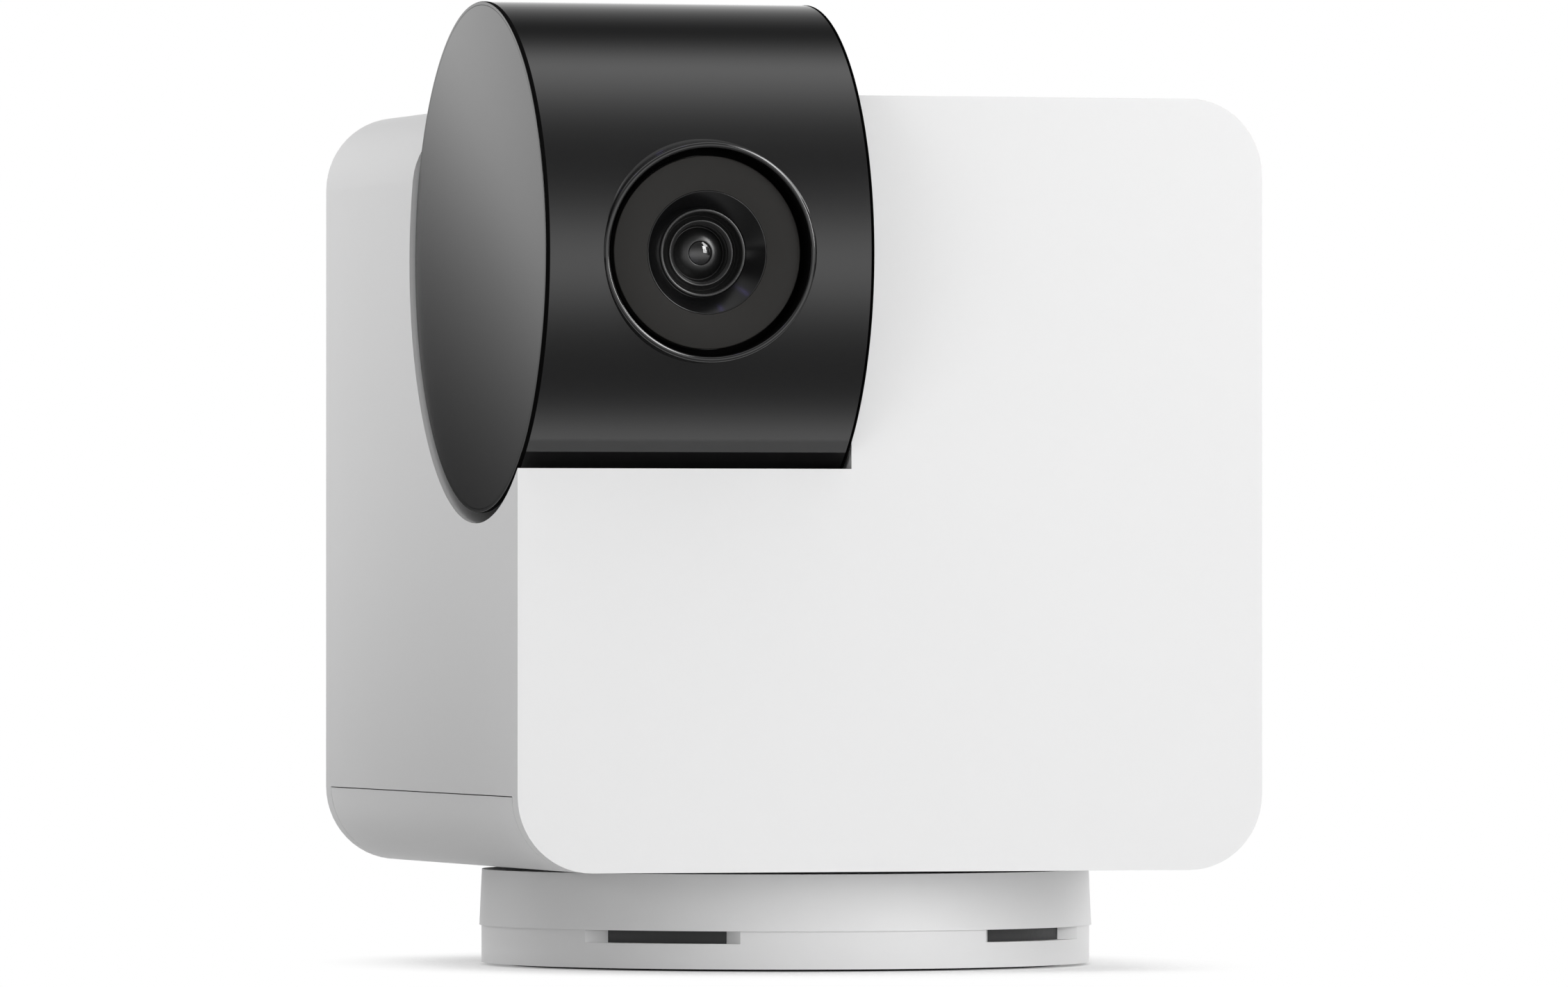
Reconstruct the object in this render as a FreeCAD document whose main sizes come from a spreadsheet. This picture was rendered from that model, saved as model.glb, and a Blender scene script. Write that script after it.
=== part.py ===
import FreeCAD, Part
import math
import os
import re

import Sketcher

# A pan and tilt pet camera: a white cube that turns on a low round base, with a black
# drum let into its upper front left that tilts and carries the lens.
# X is to the viewer's right, Y goes back, Z is up. The pan axis is Z through the origin,
# and the origin lies on the surface that the camera stands on. Lengths are in millimetres.

SIZES = {
    # the cube
    "body_width": 76.0,
    "body_depth": 76.0,
    "body_height": 76.0,
    "body_corner": 7.5,
    "wall": 2.1,
    "panel_seam": 0.1,
    # general fits between pieces
    "glue_gap": 0.02,
    "running_gap": 0.05,
    "side_play": 0.2,
    # the round base
    "foot_stand": 0.25,
    "foot_inner_radius": 23.0,
    "foot_outer_radius": 28.0,
    "foot_depth": 0.8,
    "lower_ring_radius": 30.54,
    "lower_ring_wall": 1.54,
    "lower_ring_top": 4.0,
    "tray_floor": 1.6,
    "upper_ring_top_radius": 30.5,
    "upper_ring_overhang": 0.22,
    "upper_ring_rise": 5.6,
    "upper_ring_plate": 1.8,
    "slot_rise": 1.26,
    "slot_turn": 40.4,
    "slot_half_angle": 16.0,
    "slot_ramp": 2.0,
    "vent_ring_wall": 2.4,
    "vent_ring_rise": 3.75,
    "ballast_inner_radius": 9.2,
    "ballast_outer_radius": 26.0,
    "ballast_rise": 4.0,
    "insert_radius": 5.0,
    "insert_length": 6.0,
    "tripod_thread_radius": 3.175,
    "insert_boss_wall": 3.5,
    "insert_boss_cap": 0.35,
    "base_screw_circle": 18.0,
    "base_screw_turn": 30.0,
    "base_boss_radius": 3.2,
    "ballast_hole_gap": 0.4,
    # the pan bearing and drive
    "pan_gap": 0.4,
    "post_flange_radius": 13.5,
    "post_flange_rise": 3.0,
    "post_radius": 7.0,
    "post_bore_radius": 4.0,
    "post_end": 1.1,
    "post_screw_circle": 10.4,
    "cover_hole_gap": 0.4,
    "gear_module": 0.6,
    "gear_tip": 0.54,
    "gear_root": 0.72,
    "tooth_backlash": 0.1,
    "pan_gear_teeth": 40,
    "tilt_gear_teeth": 36,
    "pinion_teeth": 12,
    "gear_face": 4.0,
    "pinion_inset": 0.25,
    "washer_rise": 0.5,
    "washer_radius": 9.6,
    "pan_bush_wall": 1.45,
    "pan_bush_length": 6.0,
    "bush_flange": 0.8,
    "bush_flange_radius": 9.5,
    "bush_boss_wall": 1.7,
    "clip_thickness": 0.8,
    "clip_groove": 0.7,
    "clip_radius": 9.0,
    "clip_mouth": 7.0,
    # the frame inside the cube
    "frame_drop": 1.35,
    "frame_plate": 2.0,
    "frame_gap": 0.4,
    "frame_leg_radius": 3.2,
    "frame_leg_reach": 25.0,
    "shell_boss_radius": 3.6,
    "shell_boss_side": 6.4,
    "shell_boss_inset": 3.1,
    "shell_boss_rise": 12.0,
    # screws
    "screw_radius": 1.2,
    "screw_head_radius": 2.2,
    "screw_head": 1.2,
    "screw_bite": 5.0,
    "tap_end": 0.5,
    # the two geared motors
    "motor_radius": 10.0,
    "motor_length": 13.0,
    "motor_offset": 6.0,
    "motor_ear": 0.8,
    "motor_ear_width": 7.0,
    "motor_ear_reach": 15.5,
    "motor_hole_reach": 12.9,
    "motor_boss_radius": 2.6,
    "motor_shaft_radius": 1.5,
    "motor_shaft_depth": 5.0,
    "motor_cap_width": 9.0,
    "motor_cap_depth": 2.4,
    "pan_drive_angle": 45.0,
    "tilt_drive_angle": 45.0,
    # the main board and what it carries
    "board_thickness": 1.6,
    "board_side_gap": 5.9,
    "board_bottom": 40.0,
    "board_head_gap": 3.9,
    "board_post": 6.9,
    "board_post_radius": 2.6,
    "board_hole_inset": 3.2,
    "can_width": 20.0,
    "can_rise": 20.0,
    "can_depth": 2.2,
    "can_left": 15.0,
    "radio_width": 13.0,
    "radio_rise": 14.0,
    "radio_depth": 1.8,
    "radio_edge": 0.5,
    "socket_height": 5.0,
    "socket_width": 9.0,
    "socket_thickness": 3.3,
    "socket_skin": 0.3,
    "socket_corner": 1.5,
    "socket_inset": 0.8,
    "socket_tongue_width": 6.7,
    "socket_tongue": 0.7,
    "socket_back": 2.2,
    "inlet_margin": 0.6,
    "rear_row_step": 11.0,
    "light_radius": 1.2,
    "button_radius": 1.6,
    "button_collar_radius": 2.5,
    "button_collar": 0.8,
    "button_travel": 0.5,
    "button_sink": 0.2,
    "switch_width": 4.5,
    "switch_depth": 2.5,
    "plunger_radius": 1.1,
    "plunger_rise": 0.5,
    "speaker_x": 17.5,
    "speaker_height": 22.0,
    "speaker_radius": 9.0,
    "speaker_depth": 3.4,
    "magnet_radius": 5.0,
    "magnet_depth": 1.7,
    "gasket_thickness": 1.0,
    "gasket_width": 1.4,
    "grille_hole_radius": 0.6,
    "grille_step": 2.3,
    "microphone_width": 3.6,
    "microphone_depth": 1.1,
    "microphone_hole_radius": 0.5,
    "boot_radius": 2.4,
    "antenna_length": 28.0,
    "antenna_rise": 8.0,
    "antenna_thickness": 0.4,
    "ribbon_thickness": 0.3,
    "ribbon_rise": 4.0,
    "ribbon_gap": 2.1,
    "ribbon_bend": 2.0,
    "plug_width": 5.4,
    "plug_depth": 2.0,
    "plug_rise": 5.4,
    # the tilting drum
    "head_setback": 15.8,
    "head_drop": 15.7,
    "head_radius": 25.1,
    "head_length": 33.1,
    "head_flush": 0.3,
    "head_wall": 1.8,
    "head_rim": 0.34,
    "head_edge": 0.3,
    "pocket_gap": 1.08,
    "pocket_wall": 1.8,
    "head_end_play": 0.4,
    "cap_thickness": 1.5,
    "hub_radius": 6.0,
    "hub_bore_radius": 3.5,
    "tilt_bush_wall": 1.5,
    "tilt_bush_length": 6.5,
    "tilt_boss_wall": 2.0,
    # the lens and its board
    "bezel_radius": 10.7,
    "bezel_stand": 0.15,
    "bezel_lip": 0.25,
    "bezel_bore_radius": 10.12,
    "bezel_shelf_radius": 8.4,
    "bezel_depth": 5.6,
    "bezel_flange_radius": 12.4,
    "bezel_flange": 1.0,
    "window_sink": 1.4,
    "window_thickness": 1.0,
    "window_radius": 9.4,
    "barrel_radius": 6.0,
    "barrel_length": 13.4,
    "cone_floor_radius": 4.3,
    "cone_depth": 1.5,
    "lens_ring_bore_radius": 3.2,
    "lens_ring_thickness": 0.9,
    "nose_sink": 0.1,
    "nose_bowl": 0.8,
    "nose_foot_radius": 2.4,
    "nose_thickness": 1.4,
    "pupil_radius": 1.12,
    "lens_thickness": 1.0,
    "rear_lens_radius": 3.0,
    "rear_lens_shelf": 0.5,
    "rear_lens_thickness": 1.2,
    "led_board_bore_gap": 0.3,
    "led_board_thickness": 1.0,
    "led_board_radius": 10.4,
    "led_width": 1.4,
    "led_depth": 1.0,
    "led_circle": 7.35,
    "holder_wall": 1.3,
    "holder_foot": 16.0,
    "holder_foot_rise": 3.4,
    "holder_length": 9.0,
    "sensor_width": 6.4,
    "sensor_rise": 5.2,
    "sensor_depth": 0.9,
    "filter_width": 8.0,
    "filter_thickness": 0.4,
    "filter_gap": 0.8,
    "sensor_board_width": 26.0,
    "sensor_board_rise": 22.0,
    "sensor_board_thickness": 1.2,
    "carrier_thickness": 2.0,
    "carrier_margin": 1.0,
    "sensor_screw_inset": 2.6,
}

doc = FreeCAD.newDocument("pan_tilt_camera")
sheet = doc.addObject("Spreadsheet::Sheet", "Sizes")
for row, (word, number) in enumerate(SIZES.items(), start=1):
    sheet.set(f"A{row}", word)
    sheet.set(f"B{row}", str(number))
    sheet.setAlias(f"B{row}", word)
doc.recompute()

# Places that follow from the sizes, written as formulas of the sheet's names.
seam_z = "lower_ring_top"
base_top = "(lower_ring_top + upper_ring_rise)"
body_bottom = f"({base_top} + pan_gap)"
body_top = f"({body_bottom} + body_height)"
floor_inside = f"({body_bottom} + wall)"
rear_inside = "(body_depth / 2 - wall)"
side_inside = "(body_width / 2 - wall)"
tray_inside = "(foot_stand + tray_floor)"
flange_top = f"({base_top} + post_flange_rise)"
gear_top = f"({flange_top} + gear_face)"
washer_top = f"({gear_top} + washer_rise)"
bush_bottom = f"({washer_top} + running_gap)"
bush_top = f"({bush_bottom} + pan_bush_length)"
clip_bottom = f"({bush_top} + side_play)"
post_top = f"({clip_bottom} + clip_thickness + post_end)"
frame_bottom = f"({bush_bottom} + frame_drop)"
frame_top = f"({frame_bottom} + frame_plate)"
pan_reach = "(gear_module * (pan_gear_teeth + pinion_teeth) / 2)"
pan_motor_reach = f"({pan_reach} + motor_offset)"
head_y = "(head_setback - body_depth / 2)"
head_z = f"({body_top} - head_drop)"
head_left = "(head_flush - body_width / 2)"
head_right = f"({head_left} + head_length)"
pocket_radius = "(head_radius + pocket_gap)"
pocket_end = f"({head_right} + head_end_play)"
tilt_boss_end = f"({pocket_end} + tilt_bush_length)"
tilt_gear_start = f"({tilt_boss_end} + bush_flange + side_play)"
tilt_gear_end = f"({tilt_gear_start} + gear_face)"
hub_clip_start = f"({tilt_gear_end} + side_play)"
hub_end = f"({hub_clip_start} + clip_thickness + post_end)"
tilt_reach = "(gear_module * (tilt_gear_teeth + pinion_teeth) / 2)"
tilt_motor_reach = f"({tilt_reach} + motor_offset)"
tilt_motor_x = f"({tilt_gear_end} + 2 * motor_ear + side_play)"
ribbon_reach = f"({hub_end} + ribbon_gap)"
board_width = f"(2 * ({side_inside} - board_side_gap))"
board_rise = f"({body_top} - wall - board_head_gap - board_bottom)"
board_front = f"({rear_inside} - board_post - board_thickness)"
board_back = f"({rear_inside} - board_post)"
board_middle = f"(board_bottom + {board_rise} / 2)"
rear_row_z = "(board_bottom + socket_height)"
speaker_z = "(board_bottom + speaker_height)"
lens_x = f"({head_left} + head_length / 2)"
bezel_front = f"({head_y} - head_radius - bezel_stand)"
window_front = f"({bezel_front} + window_sink)"
window_back = f"({window_front} + window_thickness)"
bezel_back = f"({bezel_front} + bezel_depth)"
barrel_back = f"({window_front} + barrel_length)"
filter_front = f"({barrel_back} + filter_gap)"
sensor_front = f"({filter_front} + filter_thickness + filter_gap)"
sensor_board_front = f"({sensor_front} + sensor_depth)"
sensor_board_back = f"({sensor_board_front} + sensor_board_thickness)"
tap_radius = "(screw_radius + glue_gap)"
pass_radius = "(screw_radius + side_play)"

QUARTER = 90
TURNS = {
    "Z": FreeCAD.Rotation(),
    "X": FreeCAD.Rotation(FreeCAD.Vector(0, 1, 0), QUARTER),
    "Y": FreeCAD.Rotation(FreeCAD.Vector(1, 0, 0), -QUARTER),
    "-X": FreeCAD.Rotation(FreeCAD.Vector(0, 1, 0), -QUARTER),
    "-Z": FreeCAD.Rotation(FreeCAD.Vector(1, 0, 0), 2 * QUARTER),
}
nodes = []


def bound(formula):
    """The formula with each size's name pointed at the sheet."""
    def point(word):
        return "Sizes." + word.group() if word.group() in SIZES else word.group()
    return re.sub(r"[a-z_]+", point, str(formula))


def place(thing, x, y, z, along="Z"):
    """Puts a thing's own origin at x, y, z, with its own Z turned along the named axis."""
    thing.Placement = FreeCAD.Placement(FreeCAD.Vector(), TURNS[along])
    for axis, formula in zip("xyz", (x, y, z)):
        thing.setExpression(f".Placement.Base.{axis}", bound(formula))
    return thing


def node(thing, label):
    """Names a finished sub-part."""
    thing.Label = label
    nodes.append(thing)
    return thing


def block(length, width, height, x, y, z):
    """A box from its lowest corner, with sizes along X, Y and Z."""
    thing = doc.addObject("Part::Box", "block")
    for side, formula in (("Length", length), ("Width", width), ("Height", height)):
        thing.setExpression(side, bound(formula))
    return place(thing, x, y, z)


def middle_block(length, width, height, x, y, z):
    """A box that is centred on x and z, and starts at y."""
    return block(length, width, height, f"{x} - ({length}) / 2", y, f"{z} - ({height}) / 2")


def rod(radius, length, x, y, z, along="Z"):
    """A cylinder that starts at x, y, z and runs along the named axis."""
    thing = doc.addObject("Part::Cylinder", "rod")
    thing.setExpression("Radius", bound(radius))
    thing.setExpression("Height", bound(length))
    return place(thing, x, y, z, along)


def fuse(*things):
    """One solid of several that overlap or share a face."""
    thing = doc.addObject("Part::MultiFuse", "fuse")
    thing.Shapes = list(things)
    thing.Refine = True
    return thing


def group(*things):
    """Separate like solids kept in one node."""
    thing = doc.addObject("Part::Compound", "group")
    thing.Links = list(things)
    return thing


def cut(base, *tools):
    """The base without the space of every tool."""
    thing = doc.addObject("Part::Cut", "cut")
    thing.Base = base
    thing.Tool = tools[0] if len(tools) == 1 else fuse(*tools)
    thing.Refine = True
    return thing


def common(one, other):
    """What two solids share."""
    thing = doc.addObject("Part::Common", "common")
    thing.Base = one
    thing.Tool = other
    return thing


def outline(body, plane, corners):
    """A closed sketch of straight lines, each corner tied to its two formulas."""
    sketch = body.newObject("Sketcher::SketchObject", "outline")
    origin = next(part for part in body.Origin.OriginFeatures if part.Role == plane)
    sketch.AttachmentSupport = [(origin, "")]
    sketch.MapMode = "FlatFace"
    count = len(corners)
    spread = [FreeCAD.Vector(20 + 9 * math.cos(math.tau * turn / count),
                             9 * math.sin(math.tau * turn / count), 0)
              for turn in range(count)]
    for index in range(count):
        sketch.addGeometry(Part.LineSegment(spread[index], spread[(index + 1) % count]))
    for index in range(count):
        following = (index + 1) % count
        sketch.addConstraint(Sketcher.Constraint("Coincident", index, 2, following, 1))
    for index, (across, up) in enumerate(corners):
        point = spread[index]
        for kind, start, formula in (("DistanceX", point.x, across), ("DistanceY", point.y, up)):
            tie = sketch.addConstraint(Sketcher.Constraint(kind, -1, 1, index, 1, start))
            sketch.renameConstraint(tie, f"{kind}{index}")
            sketch.setExpression(f"Constraints.{kind}{index}", bound(formula))
    return sketch


def turned(corners, x="0", y="0", z="0", along="Z"):
    """A piece of revolution: corners are radius and height formulas along its axis."""
    body = doc.addObject("PartDesign::Body", "turned")
    sketch = outline(body, "XZ_Plane", corners)
    spin = body.newObject("PartDesign::Revolution", "spin")
    spin.Profile = sketch
    spin.ReferenceAxis = (sketch, ["V_Axis"])
    spin.Angle = 360
    return place(body, x, y, z, along)


def tube(outer, inner, length, x, y, z, along="Z"):
    """A plain ring or sleeve."""
    corners = [(inner, "0"), (outer, "0"), (outer, length), (inner, length)]
    return turned(corners, x, y, z, along)


def prism(corners, height, x="0", y="0", z="0"):
    """A flat outline in XY carried straight up."""
    body = doc.addObject("PartDesign::Body", "prism")
    pad = body.newObject("PartDesign::Pad", "pad")
    pad.Profile = outline(body, "XY_Plane", corners)
    pad.setExpression("Length", bound(height))
    return place(body, x, y, z)


def rounded_block(length, width, height, x, y, z, radius):
    """A box whose four edges along Y are rounded."""
    body = doc.addObject("PartDesign::Body", "rounded_block")
    box = body.newObject("PartDesign::AdditiveBox", "box")
    for side, formula in (("Length", length), ("Width", width), ("Height", height)):
        box.setExpression(side, bound(formula))
    doc.recompute()
    along_y = [f"Edge{number}" for number, edge in enumerate(box.Shape.Edges, start=1)
               if abs(edge.tangentAt(edge.FirstParameter).y) > 0.9]
    fillet = body.newObject("PartDesign::Fillet", "fillet")
    fillet.Base = (box, along_y)
    fillet.setExpression("Radius", bound(radius))
    return place(body, x, y, z)


def around(circle, first, count, make):
    """Like pieces on a circle about the Z axis: make gets each one's x and y formulas."""
    turns = [f"{first} + {360 / count * index}" for index in range(count)]
    return [make(f"{circle} * cos({turn})", f"{circle} * sin({turn})") for turn in turns]


def screw(x, y, z, along, length):
    """A screw whose head starts at x, y, z and whose shank follows it along the axis."""
    corners = [("0", "0"), ("screw_head_radius", "0"), ("screw_head_radius", "screw_head"),
               ("screw_radius", "screw_head"), ("screw_radius", length), ("0", length)]
    return turned(corners, x, y, z, along)


def value(word):
    """A size read back from the sheet."""
    return float(sheet.get(word))


def half_tooth(teeth, radius):
    """Half the angle of one tooth at a radius, by the involute of a 20 degree gear."""
    pressure = math.radians(20)
    pitch = value("gear_module") * teeth / 2
    rolled = pitch * math.cos(pressure)
    thickness = math.pi * value("gear_module") / 2 - value("tooth_backlash")
    angle = thickness / (2 * pitch) + math.tan(pressure) - pressure
    if radius <= rolled:
        return angle
    lean = math.acos(rolled / radius)
    return angle - (math.tan(lean) - lean)


def gear(teeth_word, bore_radius, length, shift=0.0):
    """A spur gear along Z with straight flanks and a plain bore; shift turns it by teeth."""
    teeth = int(value(teeth_word))
    pitch = value("gear_module") * teeth / 2
    root = pitch - value("gear_root")
    tip = pitch + value("gear_tip")
    points = []
    for index in range(teeth):
        centre = math.tau * (index + shift) / teeth
        for radius, side in ((root, -1), (tip, -1), (tip, 1), (root, 1)):
            angle = centre + side * half_tooth(teeth, radius)
            points.append(FreeCAD.Vector(radius * math.cos(angle), radius * math.sin(angle), 0))
    rim = Part.Face(Part.makePolygon(points + points[:1])).extrude(FreeCAD.Vector(0, 0, length))
    thing = doc.addObject("Part::Feature", "gear")
    thing.Shape = rim.cut(Part.makeCylinder(bore_radius, length))
    return thing


def make_foot_ring():
    ring = tube("foot_outer_radius", "foot_inner_radius", "foot_stand + foot_depth", "0", "0", "0")
    node(ring, "foot_ring")


def slot_cutter(turn, z, height):
    """A flared slot through the lower ring's wall, at an angle from the front."""
    mouth_y = "(lower_ring_radius * cos(slot_half_angle))"
    mouth_x = "(lower_ring_radius * sin(slot_half_angle))"
    floor_x = f"({mouth_x} - slot_ramp)"
    floor_y = f"(sqrt((lower_ring_radius - lower_ring_wall) ^ 2 - {floor_x} ^ 2) - glue_gap)"
    slope = f"(({mouth_y} - {floor_y}) / slot_ramp)"
    flare = "lower_ring_wall"
    outer_x = f"({mouth_x} + {flare} / {slope})"
    outer_y = f"({mouth_y} + {flare})"
    corners = [(f"-{floor_x}", floor_y), (floor_x, floor_y), (mouth_x, mouth_y), (outer_x, outer_y),
               (f"-{outer_x}", outer_y), (f"-{mouth_x}", mouth_y)]
    cutter = prism(corners, height, "0", "0", z)
    cutter.Placement.Rotation = FreeCAD.Rotation(FreeCAD.Vector(0, 0, 1), 180)
    cutter.setExpression(".Placement.Rotation.Angle", bound(turn))
    return cutter


def make_base_tray():
    outer = "lower_ring_radius"
    inner = "(lower_ring_radius - lower_ring_wall)"
    bore = "(insert_radius + glue_gap)"
    boss = "(insert_radius + insert_boss_wall)"
    boss_top = "(foot_stand + insert_length + insert_boss_cap)"
    groove_in = "(foot_inner_radius - glue_gap)"
    groove_out = "(foot_outer_radius + glue_gap)"
    groove_top = "(foot_stand + foot_depth)"
    tray = turned([
        (bore, "foot_stand"), (groove_in, "foot_stand"), (groove_in, groove_top),
        (groove_out, groove_top), (groove_out, "foot_stand"), (outer, "foot_stand"), (outer, seam_z),
        (inner, seam_z), (inner, tray_inside), (boss, tray_inside), (boss, boss_top), (bore, boss_top)])
    slots = [slot_cutter(turn, f"{seam_z} - slot_rise", "slot_rise + wall")
             for turn in ("180 - slot_turn", "180 + slot_turn", "slot_turn", "360 - slot_turn")]
    holes = around("base_screw_circle", "base_screw_turn", 3,
                   lambda x, y: rod(pass_radius, "tray_floor", x, y, "foot_stand"))
    seats = around("base_screw_circle", "base_screw_turn", 3,
                   lambda x, y: rod("screw_head_radius + side_play", "screw_head", x, y, "foot_stand"))
    node(cut(tray, *slots, *holes, *seats), "base_tray")


def make_base_inside():
    wall_inside = "(lower_ring_radius - lower_ring_wall - running_gap)"
    node(tube(wall_inside, f"{wall_inside} - vent_ring_wall", "vent_ring_rise", "0", "0", tray_inside),
         "vent_ring")
    plate = tube("ballast_outer_radius", "ballast_inner_radius", "ballast_rise", "0", "0", tray_inside)
    holes = around("base_screw_circle", "base_screw_turn", 3,
                   lambda x, y: rod("base_boss_radius + ballast_hole_gap", "ballast_rise", x, y, tray_inside))
    node(cut(plate, *holes), "ballast_plate")
    node(tube("insert_radius", "tripod_thread_radius", "insert_length", "0", "0", "foot_stand"),
         "tripod_insert")


def make_base_cover():
    inner = "(lower_ring_radius - lower_ring_wall)"
    rim = "(lower_ring_radius + upper_ring_overhang)"
    under = f"({base_top} - upper_ring_plate)"
    cover = turned([("0", under), (inner, under), (inner, seam_z), (rim, seam_z),
                    ("upper_ring_top_radius", base_top), ("0", base_top)])
    boss_bottom = f"({tray_inside} + side_play)"
    boss_rise = f"({under} - {boss_bottom})"
    bosses = around("base_screw_circle", "base_screw_turn", 3,
                    lambda x, y: rod("base_boss_radius", boss_rise, x, y, boss_bottom))
    taps = around("base_screw_circle", "base_screw_turn", 3,
                  lambda x, y: rod(tap_radius, f"{boss_rise} - tap_end", x, y, boss_bottom))
    passes = around("post_screw_circle", "0", 3,
                    lambda x, y: rod(pass_radius, "upper_ring_plate", x, y, under))
    node(cut(fuse(cover, *bosses), *taps, *passes), "base_cover")
    length = f"{under} - foot_stand - 2 * tap_end"
    node(group(*around("base_screw_circle", "base_screw_turn", 3,
                       lambda x, y: screw(x, y, "foot_stand", "Z", length))), "base_screws")
    post_length = "screw_head + upper_ring_plate + post_flange_rise - tap_end - side_play"
    node(group(*around("post_screw_circle", "0", 3,
                       lambda x, y: screw(x, y, f"{under} - screw_head", "Z", post_length))), "post_screws")


def make_pan_post():
    groove = "(post_radius - clip_groove)"
    groove_top = f"({clip_bottom} + clip_thickness + running_gap)"
    post = turned([
        ("post_bore_radius", base_top), ("post_flange_radius", base_top),
        ("post_flange_radius", flange_top), ("post_radius", flange_top),
        ("post_radius", clip_bottom), (groove, clip_bottom), (groove, groove_top),
        ("post_radius", groove_top), ("post_radius", post_top), ("post_bore_radius", post_top)])
    taps = around("post_screw_circle", "0", 3,
                  lambda x, y: rod(tap_radius, "post_flange_rise - tap_end", x, y, base_top))
    node(cut(post, *taps), "pan_post")
    wheel = gear("pan_gear_teeth", value("post_radius") + value("glue_gap"), value("gear_face"), 0)
    wheel.Placement.Rotation = FreeCAD.Rotation(FreeCAD.Vector(0, 0, 1), QUARTER)
    wheel.setExpression(".Placement.Base.z", bound(flange_top))
    node(wheel, "pan_gear")
    node(tube("washer_radius", "post_radius + running_gap", "washer_rise", "0", "0", gear_top),
         "thrust_washer")
    ring = tube("clip_radius", f"{groove} + glue_gap", "clip_thickness", "0", "0", clip_bottom)
    mouth = block("clip_mouth", "clip_radius", "clip_thickness", "-clip_mouth / 2", "-clip_radius",
                  clip_bottom)
    node(cut(ring, mouth), "pan_clip")


def make_cube_outside():
    """The cube's full outer form, before it is parted into shell and bottom cover."""
    return rounded_block("body_width", "body_depth", "body_height", "-body_width / 2",
                         "-body_depth / 2", body_bottom, "body_corner")


def make_cube_inside():
    """The hollow of the cube."""
    return rounded_block("body_width - 2 * wall", "body_depth - 2 * wall", "body_height - 2 * wall",
                         f"-{side_inside}", f"-{rear_inside}", floor_inside, "body_corner - wall")


def tilt_place(across, down):
    """Y and Z of a point beside the tilt axis, turned with the tilt drive."""
    turn = "tilt_drive_angle"
    y = f"{head_y} + ({across}) * cos({turn}) + ({down}) * sin({turn})"
    z = f"{head_z} + ({across}) * sin({turn}) - ({down}) * cos({turn})"
    return y, z


def pan_place(across, out):
    """X and Y of a point beside the pan axis, turned with the pan drive."""
    turn = "pan_drive_angle"
    return (f"({out}) * cos({turn}) - ({across}) * sin({turn})",
            f"({out}) * sin({turn}) + ({across}) * cos({turn})")


def board_holes():
    """Centres of the main board's four screws, as x and z formulas."""
    reach = f"({board_width} / 2 - board_hole_inset)"
    low = "(board_bottom + board_hole_inset)"
    high = f"(board_bottom + {board_rise} - board_hole_inset)"
    return [(f"-{reach}", low), (reach, low), (f"-{reach}", high), (reach, high)]


def corners_of(reach_x, reach_y):
    """The four corners of a centred rectangle."""
    return [(f"-{reach_x}", f"-{reach_y}"), (reach_x, f"-{reach_y}"),
            (f"-{reach_x}", reach_y), (reach_x, reach_y)]


shell_boss_x = f"({side_inside} - shell_boss_side)"
shell_boss_y = f"({rear_inside} - shell_boss_inset)"
microphone_x = "-speaker_x"
light_x = "rear_row_step"
button_x = "-rear_row_step"


def grille_holes():
    """Three rings of small holes through the rear wall, over the speaker."""
    places = [("speaker_x", speaker_z)]
    for ring in (1, 2, 3):
        for index in range(6 * ring):
            angle = 360 / (6 * ring) * index
            places.append((f"speaker_x + {ring} * grille_step * cos({angle})",
                           f"{speaker_z} + {ring} * grille_step * sin({angle})"))
    return [rod("grille_hole_radius", "wall", x, rear_inside, z, "Y") for x, z in places]


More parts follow.
